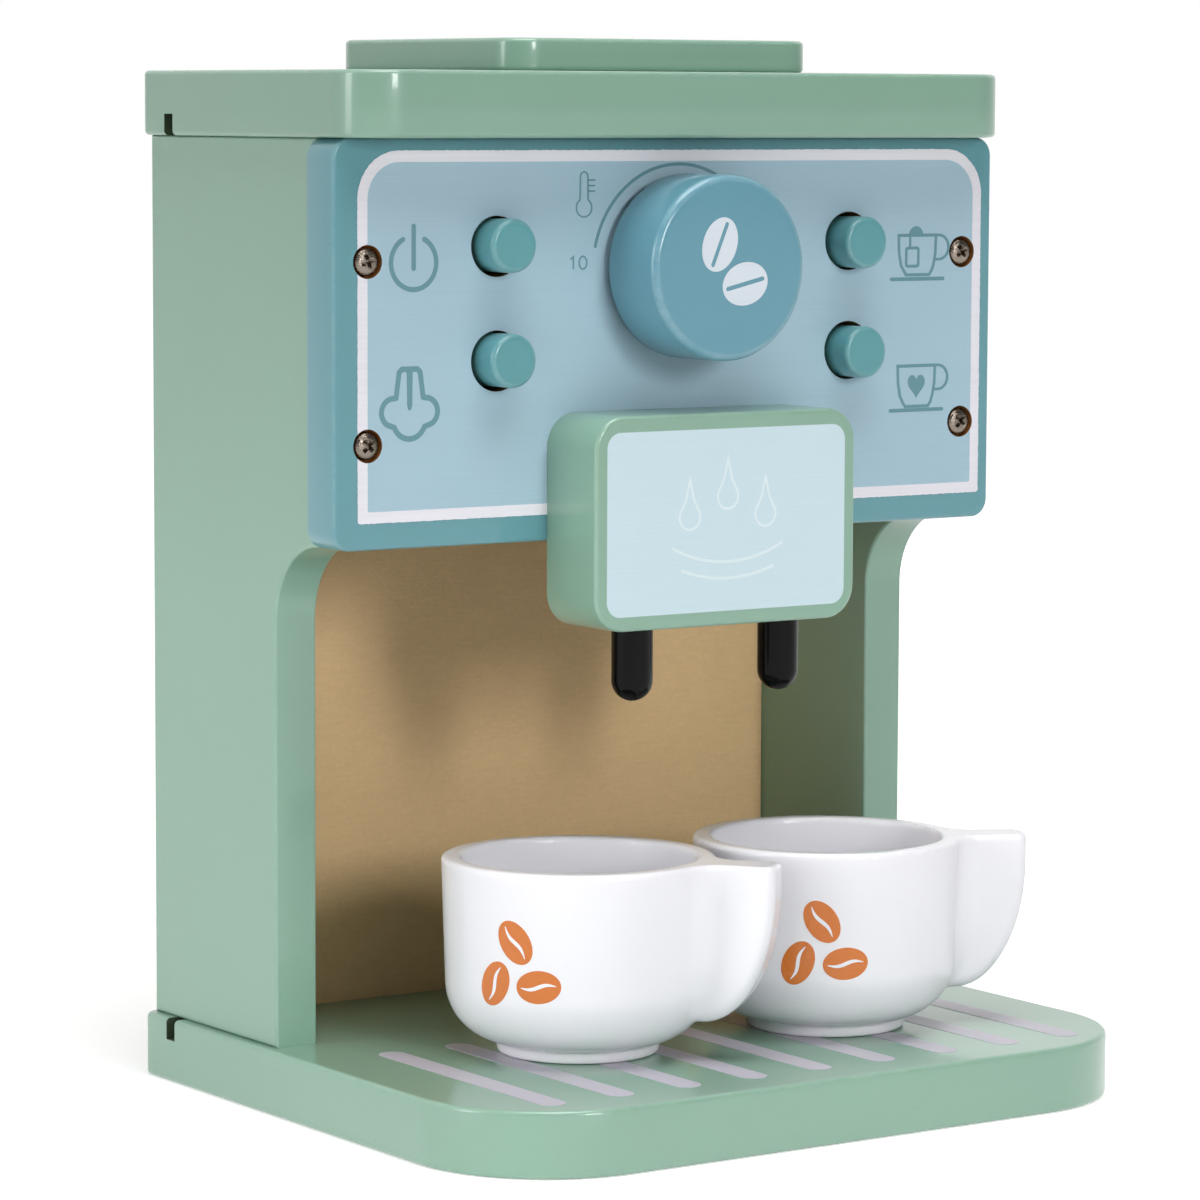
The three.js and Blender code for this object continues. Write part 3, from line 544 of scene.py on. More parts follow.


# %% [markdown]
# ## The tray board
# The base is a thick board with two wide rounded corners at the front, and it is the tray on which
# the cups stand. A saw cut runs across its top near the back, and the thin rear board stands in it.
# The cut goes right out through both ends, so it is a boolean cut with its own material: fibre
# under green overspray, darkened as painted shade in the slot. Four countersunk holes in the
# underside take the screws that hold the legs.

# %% The tray board
HALF_WIDTH, HALF_DEPTH, THICK_EDGE, THIN_EDGE = 74, 62.5, 0.9, 0.6
BASE_TOP, ROOF_LOW, ROOF_TOP, PLATE_TOP = 12.0, 178.0, 190.0, 196.0
GROOVE_FRONT, GROOVE_REAR, GROOVE_DEPTH, GROOVE_REACH = 49.9, 53.0, 4.0, 80
SINK_RADIUS, SINK_DEPTH, SINK_FLOOR, LOOSE_BORE, HOLE_STEPS = 3.8, 0.4, 2.15, 2.05, 32
SIDES = {"left": -1, "right": 1}
base_screws = [(side * 67.45, y) for side in SIDES.values() for y in (25.1, 44.0)]
base_holes = [(spot, [(SINK_RADIUS, 0.0), (SINK_RADIUS, SINK_DEPTH), (LOOSE_BORE, SINK_FLOOR),
                      (LOOSE_BORE, BASE_TOP)], HOLE_STEPS) for spot in base_screws]
tray_outline = rounded_outline(-HALF_WIDTH, HALF_WIDTH, -HALF_DEPTH, HALF_DEPTH, 27, 3, 22)
tray_shape = board_mesh(tray_outline, 0, BASE_TOP, THICK_EDGE, base_holes)
tray_board = piece_from("tray_board", tray_shape, [sage_paint, fibre_cut])


def saw_cut(low, high):
    """A cutter for the saw cut across a board, between two heights."""
    ring = [(-GROOVE_REACH, GROOVE_FRONT), (GROOVE_REACH, GROOVE_FRONT),
            (GROOVE_REACH, GROOVE_REAR), (-GROOVE_REACH, GROOVE_REAR)]
    return piece_from("saw_cut", prism(ring, ring, low, high), [shaded_sage_cut])


carve(tray_board, saw_cut(BASE_TOP - GROOVE_DEPTH, BASE_TOP + 2))
fit(tray_board, "housing", "sage_paint", "base_board")

# %% [markdown]
# ## The two side walls
# Each side is one board, as deep as the housing at its head and set back below it, with a hollow
# quarter round between. The outline has a straight front, the hollow arc and a straight leg, so the
# ring builder takes it as it is. One outline serves both walls, each between its own two planes.

# %% The side walls
LEG_FRONT, SIDE_FRONT, SIDE_REAR, ARCH_RADIUS, FACE_LOW = 16.1, 1.4, 61.1, 14.7, 105.0
WALL_INNER, WALL_OUTER = 63.1, 71.8
wall_outline = np.array([
    *arc((SIDE_FRONT, FACE_LOW - ARCH_RADIUS), ARCH_RADIUS, 90, 0, 20),
    (LEG_FRONT, BASE_TOP), (SIDE_REAR, BASE_TOP), (SIDE_REAR, ROOF_LOW), (SIDE_FRONT, ROOF_LOW)])
for name, side in SIDES.items():
    low, high = sorted((side * WALL_INNER, side * WALL_OUTER))
    wall = piece_from(f"side_wall_{name}", board_mesh(wall_outline, low, high, THIN_EDGE),
                      [sage_paint, fibre_cut], SIDE)
    fit(wall, "housing", "sage_paint", f"side_panel_{name}")

# %% [markdown]
# ## The roof board and its raised plate
# The roof is a board like the tray, with smaller corners, and a smaller plate sits on it where a
# real machine warms its cups. The roof's saw cut is in its underside.

# %% The roof board and the plate
roof_outline = rounded_outline(-73.5, 73.5, -16, HALF_DEPTH, 10, 3, 16)
roof_board = piece_from("roof_board", board_mesh(roof_outline, ROOF_LOW, ROOF_TOP, THICK_EDGE),
                        [sage_paint, fibre_cut])
carve(roof_board, saw_cut(ROOF_LOW - 2, ROOF_LOW + GROOVE_DEPTH))
fit(roof_board, "housing", "sage_paint", "top_board")
plate_outline = rounded_outline(-34.5, 34.5, -4.7, 57.3, 7, 7, 14)
roof_plate = piece_from("roof_plate", board_mesh(plate_outline, ROOF_TOP, PLATE_TOP, THICK_EDGE),
                        [sage_paint, fibre_cut])
fit(roof_plate, "housing", "sage_paint", "top_plate")

# %% [markdown]
# ## The rear board
# The rear is thin brown hardboard, sawn to size and pushed into the two saw cuts. It fills the
# width between the walls. Its edges are only broken with sandpaper, so their round is very small.

# %% The rear board
rear_outline = rounded_outline(-63.05, 63.05, 8.3, 181.7, 0.8, 0.8, 3)
rear_board = piece_from("rear_board", board_mesh(rear_outline, -52.7, -50.2, 0.3, (), 3),
                        [bare_hardboard], FRONT)
fit(rear_board, "housing", "bare_hardboard", "back_panel")

# %% [markdown]
# ## The face board
# The face carries everything that is played with. Its button holes run through with a wall of raw
# fibre, and the four screws sit in flat-bottomed holes whose brown wall shows beside each head. A
# hole is a stack of rings, so a narrow screw bore can go on from the floor of a wider one.

# %% The face board
FACE_FRONT, FACE_BACK = 7.9, -1.4
KNOB_X, KNOB_Z = 0.5, 154.55
BUTTON_HOLE, HEAD_HOLE, SCREW_BORE, HEAD_FLOOR = 5.5, 3.0, 1.8, 6.0
corners = [f"{name}_{row}" for name in SIDES for row in ("upper", "lower")]
button_spots = [(side * 39.65, z) for side in SIDES.values() for z in (158.6, 138.0)]
screw_spots = [(side * 66.9, z) for side in SIDES.values() for z in (156.2, 123.6)]
face_holes = [(spot, [(BUTTON_HOLE, FACE_FRONT), (BUTTON_HOLE, FACE_BACK)], 48)
              for spot in button_spots]
face_holes += [(spot, [(HEAD_HOLE, FACE_FRONT), (HEAD_HOLE, HEAD_FLOOR), (SCREW_BORE, HEAD_FLOOR),
                       (SCREW_BORE, FACE_BACK)], HOLE_STEPS) for spot in screw_spots]
face_holes += [((KNOB_X, KNOB_Z), [(LOOSE_BORE, FACE_FRONT), (LOOSE_BORE, FACE_BACK)],
                HOLE_STEPS)]
face_outline = rounded_outline(-HALF_WIDTH, HALF_WIDTH, FACE_LOW, ROOF_LOW, 3.5, 3.5, 10)
face_shape = board_mesh(face_outline, FACE_BACK, FACE_FRONT, THIN_EDGE, face_holes)
face_board = piece_from("face_board", face_shape, [teal_paint, fibre_cut], FRONT)
fit(face_board, "housing", "teal_paint", "front_board")

# %% [markdown]
# ## The pouring block and its spouts
# The block is thick, with a generous round on every edge, and two black rods hang from sockets in
# its underside. The sockets are cut in with a round cutter made by the same turning helper as the
# rods. A rod's end is a half ball, and its profile is turned round the upright axis.

# %% Turned shapes
def turned(profile, steps=48, edges=()):
    """A turned shape from a profile of (radius, height) that starts and ends on the axis."""
    points, faces, wear_and_sheen, rows = [], [], [], []
    for k, (radius, height) in enumerate(profile):
        ring = oval((0, 0), radius, radius, steps if radius > 1e-6 else 1)
        rows.append([len(points) + i % len(ring) for i in range(steps)])
        points += [(u, v, height) for u, v in ring]
        wear_and_sheen += [float(k in edges)] * len(ring)
    for lower, upper in zip(rows, rows[1:]):
        faces += [tuple(dict.fromkeys((lower[i], lower[j], upper[j], upper[i])))
                  for i, j in around(steps)]
    return points, faces, [0] * len(faces), wear_and_sheen


# %% The pouring block and spouts
BLOCK_LEFT, BLOCK_RIGHT, BLOCK_LOW, BLOCK_HIGH, BLOCK_FRONT = -28.65, 29.65, 89.3, 128.3, 23.7
SPOUT_SPREAD, SPOUT_Y, SPOUT_RADIUS, SPOUT_TIP, SPOUT_TOP = 16.5, -17.05, 3.8, 75.8, 104.3
SOCKET_RADIUS, SOCKET_LOW, SOCKET_TOP = 4.1, 85, 104.6
block_outline = rounded_outline(BLOCK_LEFT, BLOCK_RIGHT, BLOCK_LOW, BLOCK_HIGH, 6.2, 6.2, 14)
block_shape = board_mesh(block_outline, FACE_FRONT, BLOCK_FRONT, 0.7, low_edge=0.15)
block = piece_from("pouring_block", block_shape, [sage_paint, fibre_cut], FRONT)
socket_profile = [(0, SOCKET_LOW), (SOCKET_RADIUS, SOCKET_LOW), (SOCKET_RADIUS, SOCKET_TOP),
                  (0, SOCKET_TOP)]
spout_profile = [(0, SPOUT_TIP), *arc((0, 79.6), SPOUT_RADIUS, -84, 0, 12),
                 (SPOUT_RADIUS, 103.8), (SPOUT_RADIUS - 0.5, SPOUT_TOP), (0, SPOUT_TOP)]
spout_spots = {name: (KNOB_X + side * SPOUT_SPREAD, SPOUT_Y, 0) for name, side in SIDES.items()}
carve(block, *[piece_from("socket", turned(socket_profile, 40), [fibre_cut], UP, spot)
               for spot in spout_spots.values()])
fit(block, "housing", "sage_paint", "spout_block")
for name, spot in spout_spots.items():
    spout = piece_from(f"spout_rod_{name}", turned(spout_profile), [black_gloss], UP, spot)
    fit(spout, "housing", "black_gloss", f"spout_{name}")

# %% [markdown]
# ## The knob
# The knob is turned from wood and painted like the face. It turns on a screw from behind, so its
# front is whole. A turned profile with a soft front edge and a smaller rear one is all it needs.
# The rounded ring is marked as an edge, so that the paint shows lighter there: partly wear, partly
# a painted highlight.

# %% The knob
KNOB_RADIUS, KNOB_BACK, KNOB_FRONT, KNOB_ROUND, KNOB_REAR_ROUND = 16.95, 9.4, 24.1, 1.4, 0.6
KNOB_SOCKET = KNOB_BACK + 10.3
knob_profile = [
    (0, KNOB_SOCKET), (LOOSE_BORE, KNOB_SOCKET), (LOOSE_BORE, KNOB_BACK),
    (KNOB_RADIUS - 1.0, KNOB_BACK),
    *arc((KNOB_RADIUS - KNOB_REAR_ROUND, KNOB_BACK + KNOB_REAR_ROUND), KNOB_REAR_ROUND, -90, 0, 4),
    *arc((KNOB_RADIUS - KNOB_ROUND, KNOB_FRONT - KNOB_ROUND), KNOB_ROUND, 0, 90, 8),
    (KNOB_RADIUS - KNOB_ROUND * 1.4, KNOB_FRONT), (0, KNOB_FRONT)]
knob = piece_from("dial_knob", turned(knob_profile, 128, range(10, 17)), [knob_paint], FRONT,
                  (KNOB_X, 0, KNOB_Z))
fit(knob, "knob", "knob_paint", "control_knob")

# %% [markdown]
# ## The four push buttons
# Each button is one turned piece: the rod that shows, a flange behind the board that stops it from
# falling out, and a spigot that goes inside its spring. The holes are wide, so each button hangs a
# little to one side in its hole.

# %% The push buttons
BUTTON_RADIUS, BUTTON_FRONT, BUTTON_ROUND = 4.85, 13.5, 0.9
BUTTON_HANG, BUTTON_LIFT = 0.3, 0.2
button_profile = [
    (0, -7.1), (2.2, -7.1), (2.5, -6.8), (2.5, -4.5), (6.8, -4.5), (7.0, -4.3), (7.0, -1.7),
    (6.8, -1.5), (BUTTON_RADIUS, -1.5), (BUTTON_RADIUS, 4.0),
    *arc((BUTTON_RADIUS - BUTTON_ROUND, BUTTON_FRONT - BUTTON_ROUND), BUTTON_ROUND, 0, 90, 7),
    (3.6, BUTTON_FRONT), (0, BUTTON_FRONT)]
for corner, (x, z) in zip(corners, button_spots):
    hung = (x + BUTTON_HANG, 0, z - math.copysign(BUTTON_LIFT, x))
    # The button's rounded front rim is marked as an edge, lighter in paint: wear with a painted
    # highlight.
    button = piece_from(f"push_button_{corner}", turned(button_profile, 64, range(11, 17)),
                        [button_paint], FRONT, hung)
    fit(button, f"button_{corner}_body", "button_paint", f"button_{corner}")

# %% [markdown]
# ## Ink as thin shells
# Printed ink could be painted in a material, but a mesh keeps its edge crisp from any distance.
# Each print is a closed shell less than a fifth of a millimetre thick: its outline is filled on
# both sides and joined by a narrow wall. A line drawing is the same round a path of some width.

# %% Ink helpers
def signed_area(loop):
    """The area inside a loop, below zero if the loop runs clockwise."""
    ahead = np.roll(loop, -1, 0)
    return 0.5 * float((loop[:, 0] * ahead[:, 1] - ahead[:, 0] * loop[:, 1]).sum())


def ink_shape(patches, low, high, below=((), ())):
    """A closed thin shell from patches, each a list of loops: its outline, then its openings.

    A shell that lies below can be given, and then the two are one shape."""
    points, faces = map(list, below)
    for patch in patches:
        loops = [np.asarray(loop, float) for loop in patch]
        loops = [loop if (signed_area(loop) > 0) == (k == 0) else loop[::-1]
                 for k, loop in enumerate(loops)]
        flat = np.concatenate(loops)
        base, count = len(points), len(flat)
        points += [(u, v, level) for level in (low, high) for u, v in flat]
        for a, b, c in filled(loops):
            faces += [(base + count + a, base + count + b, base + count + c),
                      (base + c, base + b, base + a)]
        for loop in loops:
            faces += [(base + i, base + j, base + j + count, base + i + count)
                      for i, j in around(len(loop))]
            base += len(loop)
    return points, faces


def stroke(path, width, closed=False):
    """The outline of a drawn line: two loops for a closed one, one with round ends if open."""
    path = np.asarray(path, float)
    half = width / 2
    if closed:
        side = inward(path)
        return [path - side * half, path + side * half]
    along = np.diff(path, axis=0)
    along /= np.linalg.norm(along, axis=1)[:, None]
    normal = np.stack([-along[:, 1], along[:, 0]], 1)
    first, last = np.vstack([normal[:1], normal]), np.vstack([normal, normal[-1:]])
    side = (first + last) / (1 + (first * last).sum(1))[:, None]
    start, end = np.degrees(np.arctan2(along[[0, -1], 1], along[[0, -1], 0]))
    return [np.concatenate([path - side * half,
                            arc(path[-1], half, end - 90, end + 90, 8)[1:-1],
                            (path + side * half)[::-1],
                            arc(path[0], half, start + 90, start + 270, 8)[1:-1]])]


def bent(corners, radius, steps=4):
    """A path from its first corner round the next ones. The last only shows the way."""
    path = [corners[0]]
    for before, here, after in zip(corners, corners[1:], corners[2:]):
        back, on = (np.subtract(end, here) / math.dist(end, here) for end in (before, after))
        path += [here + radius * (back * (1 - t) ** 2 + on * t ** 2)
                 for t in np.linspace(0, 1, steps + 1)]
    return path


print("a line 10 long and 1 wide covers",
      round(signed_area(stroke([(0, 0), (10, 0)], 1)[0]), 2))

# %% [markdown]
# ## The light field and its white border
# The field fills most of the face, inside a white line that is round at the top and square at the
# bottom. The printed edge is a little ragged, so its outline is sampled finely and nudged by seeded
# random steps. The holes for buttons and screws were drilled through the print, and here too.

# %% The field and the border
FIELD_LEFT, FIELD_RIGHT, FIELD_LOW, FIELD_HIGH, BORDER = -69.0, 71.5, 109.8, 175.8, 2.05
FIELD_INK, LINE_INK, OVER_INK = (FACE_FRONT + lift for lift in (0.05, 0.1, 0.14))
INK_SINK = 0.04
ragged = random.Random(7)


def field_outline(inset, low_radius, high_radius):
    """The field's outline, drawn in by some inset."""
    return rounded_outline(FIELD_LEFT + inset, FIELD_RIGHT - inset, FIELD_LOW + inset,
                           FIELD_HIGH - inset, low_radius, high_radius, 10)


def ragged_outline(outline, spacing, wobble):
    """An outline sampled every so often and nudged at random, as dry ink leaves it."""
    result = []
    for here, there in zip(outline, np.roll(outline, -1, 0)):
        count = max(1, int(np.linalg.norm(there - here) / spacing))
        for t in np.linspace(0, 1, count, endpoint=False):
            nudge = [ragged.uniform(-wobble, wobble) for _ in range(2)]
            result.append(here + (there - here) * t + nudge)
    return np.array(result)


def drill_bits(spots, radius):
    """Cutters for the holes that go through a print on the face."""
    profile = [(0, 6), (radius, 6), (radius, 10), (0, 10)]
    return [piece_from("drill_bit", turned(profile), [fibre_cut], FRONT, (x, 0, z))
            for x, z in spots]


field_shape = ink_shape([[field_outline(0.8, 0.4, 7.8)]], FACE_FRONT - INK_SINK, FIELD_INK)
field = piece_from("printed_field", field_shape, [field_ink], FRONT)
carve(field, *drill_bits(button_spots, BUTTON_HOLE + 0.01),
      *drill_bits(screw_spots, HEAD_HOLE + 0.01))
fit(field, "housing", "field_ink")
border_loops = [ragged_outline(field_outline(0, 0.5, 8.6), 0.45, 0.05),
                ragged_outline(field_outline(BORDER, 0.4, 6.6), 0.9, 0.015)]
border_shape = ink_shape([border_loops], FACE_FRONT - INK_SINK, LINE_INK)
border = piece_from("printed_border", border_shape, [white_ink], FRONT)
carve(border, *drill_bits(screw_spots, HEAD_HOLE + 0.01))
fit(border, "housing", "white_ink")

# %% [markdown]
# ## The little drawings on the face
# The drawings say what each button does: on, steam, tea and hot milk, with a thermometer and a
# dial arc by the knob. They are lines of about one pen width with round ends, given by a few points
# each. Where two lines cross, one lies a little higher. The dial's low end has a plain number.

# %% Drawings of cups, steam and power
PEN, FINE_PEN = 0.66, 0.32
lines, over_lines = [], []


def drawn_cup(left, rim, foot, saucer):
    """Draws a cup with its ear and saucer. Lines that cross others go in the upper layer."""
    right, low_left, low_right = left + 9.0, left + 1.85, left + 7.4
    body = [(left, rim), (left + 0.12, rim - 3.4), (left + 0.6, rim - 5.7),
            (low_left - 0.55, foot + 0.75), (low_left, foot), (low_right, foot),
            (low_right + 0.55, foot + 0.75), (right - 0.6, rim - 5.7), (right - 0.12, rim - 3.4),
            (right, rim)]
    ear = [(right - 0.05, rim), *arc((right + 0.75, rim - 2.3), 2.3, 88, -88, 16),
           (right - 0.15, rim - 4.6)]
    lines.extend([stroke(body, PEN * 0.9, True),
                  stroke([(left - 1.7, saucer), (left + 10.8, saucer)], 0.7)])
    over_lines.append(stroke(ear, PEN * 0.8))


drawn_cup(51.65, 159.45, 151.95, 151.15)
bag = bent([(54.95, 157.05), (53.5, 157.05), (53.5, 153.6), (56.4, 153.6), (56.4, 157.05),
            (54.96, 157.05)], 0.4)
lines.append(stroke(bag, PEN * 0.85, True))
over_lines += [stroke([(54.4, 159.4), (54.42, 157.2)], 0.45),
               [arc((55.82, 159.5), 1.68, 0, 180, 16)]]
drawn_cup(51.7, 134.6, 126.85, 126.15)
turns = np.linspace(0, 2 * math.pi, 48, endpoint=False)
heart = np.stack([56.23 + 0.128 * 16 * np.sin(turns) ** 3,
                  130.95 + 0.158 * (13 * np.cos(turns) - 5 * np.cos(2 * turns)
                                    - 2 * np.cos(3 * turns) - np.cos(4 * turns))], 1)
lines += [[heart], stroke(arc((-57.3, 155.9), 4.75, 118, 422, 40), 0.9),
          stroke([(-57.3, 162.4), (-57.3, 154.9)], 0.9)]
steam_cloud = [(-56.55, 137.05), (-55.95, 136.5), (-55.3, 132.0),
               *arc((-54.75, 129.4), 2.5, 95, -60, 14), *arc((-58.2, 128.0), 3.4, -22, -158, 16),
               *arc((-61.55, 129.4), 2.5, 240, 85, 14),
               (-61.0, 132.0), (-60.35, 136.5), (-59.75, 137.05)]
lines.append(stroke(steam_cloud, 1.0, True))
over_lines.append([[(-58.75, 136.9), (-58.65, 130.5), (-58.35, 129.75), (-57.95, 129.75),
                    (-57.65, 130.5), (-57.55, 136.9)]])
print("strokes so far:", len(lines) + len(over_lines))

# %% Thermometer, dial arc and number
thermometer = [*arc((-20.75, 165.35), 1.68, 122, 418, 28), (-19.95, 171.1), (-20.15, 171.6),
               (-20.75, 171.9), (-21.35, 171.6), (-21.55, 171.1)]
lines += [stroke(thermometer, FINE_PEN, True),
          *[stroke([(-19.75, z), (-18.45, z)], FINE_PEN) for z in (168.35, 169.35, 170.35)],
          stroke(arc((0.3, 154.2), 19.0, 167.5, 63, 70), 0.6),
          stroke([(-23.6, 156.05), (-23.05, 156.5), (-23.05, 154.35)], FINE_PEN),
          stroke(oval((-20.95, 155.4), 0.82, 1.15, 48), FINE_PEN, True)]
drawn = ink_shape(over_lines, FACE_FRONT + 0.02, OVER_INK, ink_shape(lines, FACE_FRONT, LINE_INK))
fit(piece_from("printed_drawings", drawn, [teal_ink], FRONT), "housing", "teal_ink")

# %% [markdown]
# ## The label on the pouring block
# The block's front is printed pale blue, with a plain drawing in a slightly paler ink: three drops
# over two shallow bowl lines, which say what comes out below.

# %% The label
label_outline = rounded_outline(-26.2, 27.2, 92.0, 125.4, 2.9, 2.9, 10)
label = piece_from("printed_label",
                   ink_shape([[label_outline]], BLOCK_FRONT - INK_SINK, BLOCK_FRONT + 0.04),
                   [label_ink], FRONT)
fit(label, "housing", "label_ink")


def drop(x, z, width=4.6, height=6.8):
    """A falling drop: round below, drawn to a point above."""
    return [*arc((x, z), width / 2, 160, 380, 18), (x + width * 0.2, z + height * 0.45),
            (x, z + height), (x - width * 0.2, z + height * 0.45)]


label_marks = [stroke(drop(x, z), 0.5, True) for x, z in ((-8, 109.5), (0.5, 113), (9, 109.5))]
label_marks += [stroke(arc((0.5, 128), 27, 243, 297, 30), 0.55),
                stroke(arc((0.5, 128), 30, 250, 290, 24), 0.55)]
marks = piece_from("label_drawing",
                   ink_shape(label_marks, BLOCK_FRONT + 0.02, BLOCK_FRONT + 0.08),
                   [label_line], FRONT)
fit(marks, "housing", "white_ink")

# %% [markdown]
# ## Two coffee beans on the knob
# A bean is an oval with a straight crease. The crease is left open, so that the knob's own paint
# shows in it, just as a printer would leave it out of the stencil.

# %% The beans
def bean(centre, short_half, degrees):
    """An oval patch with a straight slit along its middle."""
    crease = tilted(centre, np.array([(-4, 0), (4, 0)]), degrees)
    return [oval(centre, 5.1, short_half, 56, degrees), stroke(crease, 0.8)[0]]


knob_beans = ink_shape([bean((-2.4, 4.3), 3.75, 67.0), bean((3.3, -2.9), 3.9, 12.9)],
                       KNOB_FRONT - INK_SINK, KNOB_FRONT + 0.05)
fit(piece_from("knob_beans", knob_beans, [bean_ink], FRONT, (KNOB_X, 0, KNOB_Z)),
    "knob", "field_ink")

# %% [markdown]
# ## Slats, screws and springs by rule
# The tray has nine equal printed slats, the toy is held by fifteen screws and four buttons stand on
# four springs. What repeats is made by Geometry Nodes: the rule is a small tree with named sizes,
# and the result is baked into plain meshes.

# %% Geometry Nodes helpers
WHOLE, PLACE, FINISH = "NodeSocketInt", "NodeSocketVector", "NodeSocketMaterial"


def rule(name, **sizes):
    """An empty geometry tree with a geometry input and named sizes."""
    tree = bpy.data.node_groups.new(name, "GeometryNodeTree")
    for key, kind in {"Geometry": "NodeSocketGeometry", **sizes}.items():
        tree.interface.new_socket(key.replace("_", " "), in_out="INPUT", socket_type=kind)
    tree.interface.new_socket("Geometry", in_out="OUTPUT", socket_type="NodeSocketGeometry")
    return tree, tree.nodes.new("NodeGroupInput").outputs


def ending(tree, geometry, material):
    """Every tree ends the same way: instances made real, and one material set."""
    real = add(tree, "GeometryNodeRealizeInstances", Geometry=geometry)
    add(tree, "NodeGroupOutput", None,
        add(tree, "GeometryNodeSetMaterial", Geometry=real, Material=material))


def baked(name, tree, values, start=None):
    """Runs a tree on a mesh and returns its result as one plain object."""
    holder = in_scene(name, start or bpy.data.meshes.new(name))
    work = holder.modifiers.new("rule", "NODES")
    work.node_group = tree
    for socket in tree.interface.items_tree:
        if socket.in_out == "INPUT" and socket.name in values:
            work[socket.identifier] = values[socket.name]
    mesh = settled(holder)
    mesh.name = name
    mesh.polygons.foreach_set("use_smooth", [True] * len(mesh.polygons))
    mesh.set_sharp_from_angle(angle=math.radians(SHARP))
    return holder


# %% The slats of the tray
SLATS, SLAT_PITCH, SLAT_WIDTH, SLAT_FRONT, SLAT_REAR = 9, 14.4, 5.2, -54.8, 2.0
slat_rule, given = rule("slats_in_a_row", Count=WHOLE, Pitch=NUMBER, Width=NUMBER, Length=NUMBER,
                        Thickness=NUMBER, First=PLACE, Material=FINISH)
make = partial(add, slat_rule)
blank = make("GeometryNodeCurvePrimitiveQuadrilateral", Width=given["Width"],
             Height=given["Length"])
stadium = make("GeometryNodeFilletCurve", {"mode": "POLY"}, Curve=blank, Count=10,
               Radius=times(given["Width"], 0.499))
face = make("GeometryNodeFillCurve", {"mode": "NGONS"}, Curve=stadium)
under_face = make("GeometryNodeFlipFaces", Mesh=face)
raised = make("GeometryNodeExtrudeMesh", Mesh=face, Offset_Scale=given["Thickness"],
              Individual=False)
both = make("GeometryNodeJoinGeometry")
for part in (raised, under_face):
    feed(both.inputs[0], part)
slat = make("GeometryNodeMergeByDistance", Geometry=both, Distance=0.000005)
row = make("GeometryNodeMeshLine", {"mode": "OFFSET", "count_mode": "TOTAL"}, Count=given["Count"],
           Start_Location=given["First"], Offset=make("ShaderNodeCombineXYZ", X=given["Pitch"]))
laid = make("GeometryNodeInstanceOnPoints", Points=row, Instance=slat)
ending(slat_rule, laid, given["Material"])
slats = baked("printed_slats", slat_rule, {
    "Count": SLATS, "Pitch": SLAT_PITCH * MM, "Width": SLAT_WIDTH * MM,
    "Length": (SLAT_REAR - SLAT_FRONT) * MM, "Thickness": 0.07 * MM, "Material": slat_ink,
    "First": (0.5 * MM - (SLATS - 1) / 2 * SLAT_PITCH * MM, (SLAT_FRONT + SLAT_REAR) / 2 * MM,
              (BASE_TOP - 0.01) * MM)})
fit(slats, "housing", "slat_ink")

# %% [markdown]
# ## The screws
# Each screw has a domed head with a tapered cross recess and a threaded shank. One template is made
# in mesh code for each kind, and the rule places it on a point for every screw. Each point also
# holds a turn, because no two screws in a toy ever end with their crosses lined up.

# %% One screw
RIB, POINT, POINT_SHARE, CORE_SHARE, NECK_SHARE = 1.1, 0.4, 0.2, 0.74, 0.78
TAPER_START, TAPER_LENGTH = 0.45, 6


def screw_template(name, head, length, shank):
    """A screw that stands on its seat, head up, with its cross recess cut and a ribbed shank."""
    profile = [(0, -length), (shank * POINT_SHARE, -length + POINT)]
    level, neck = -length + POINT + RIB, head[0][1]
    while level < neck - RIB:
        taper = min(1.0, TAPER_START + (level + length) / TAPER_LENGTH)
        profile += [(shank * CORE_SHARE * taper, level - RIB / 2), (shank * taper, level)]
        level += RIB
    profile += [(shank * NECK_SHARE, neck - RIB / 2), (shank * NECK_SHARE, neck)] + head
    screw = piece_from(name, turned(profile, 40), [screw_steel])
    top, radius = head[-1][1], max(across for across, _ in head)
    span, wide, depth = radius * 0.6, radius * 0.17, radius * 0.36
    arm = np.array([(span, wide), (wide, wide), (wide, span)])
    plan = np.concatenate([tilted((0, 0), arm, quarter) for quarter in (0, 90, 180, 270)])
    carve(screw, piece_from("cross", prism(plan * 0.45, plan * 1.15, top - depth, top + 0.4),
                            [screw_steel]))
    screw.data.set_sharp_from_angle(angle=math.radians(28))
    return screw


def domed_head(diameter, height):
    """A pan head: an upright rim that rolls over into a low dome."""
    radius = diameter / 2
    return ([(radius - 0.1, 0.0), (radius, 0.1), (radius, height * 0.45)]
            + [(radius * math.cos(a) ** 0.6, height * (0.45 + 0.55 * math.sin(a)))
               for a in np.radians((20, 38, 54, 68, 80))] + [(0, height)])


long_screw = screw_template("long_screw", domed_head(5.2, 2.2), 23.4, 1.5)
short_screw = screw_template("short_screw", domed_head(5.2, 2.2), 19, 1.5)
knob_bolt = screw_template("knob_bolt", domed_head(7.0, 2.6), 21, 1.75)
sunk_screw = screw_template("sunk_screw", [(1.4, -1.9), (3.45, -0.06), (3.5, 0.0), (2.6, 0.04),
                                           (0, 0.05)], 29.5, 1.75)
print("one long screw has", len(long_screw.data.polygons), "faces")

# %% The screws in their places
screw_rule, given = rule("screws_at_points", Screw="NodeSocketObject", Material=FINISH)
make = partial(add, screw_rule)
pattern = make("GeometryNodeObjectInfo", Object=given["Screw"])
facing = make("GeometryNodeInputNamedAttribute", {"data_type": "FLOAT_VECTOR"}, Name="turn")
driven = make("GeometryNodeInstanceOnPoints", Points=given["Geometry"],
              Instance=pattern.outputs["Geometry"],
              Rotation=make("FunctionNodeEulerToRotation", Euler=facing))
ending(screw_rule, driven, given["Material"])
hand = random.Random(3)
TO_FRONT, TO_BACK, DOWN = math.pi / 2, -math.pi / 2, math.pi


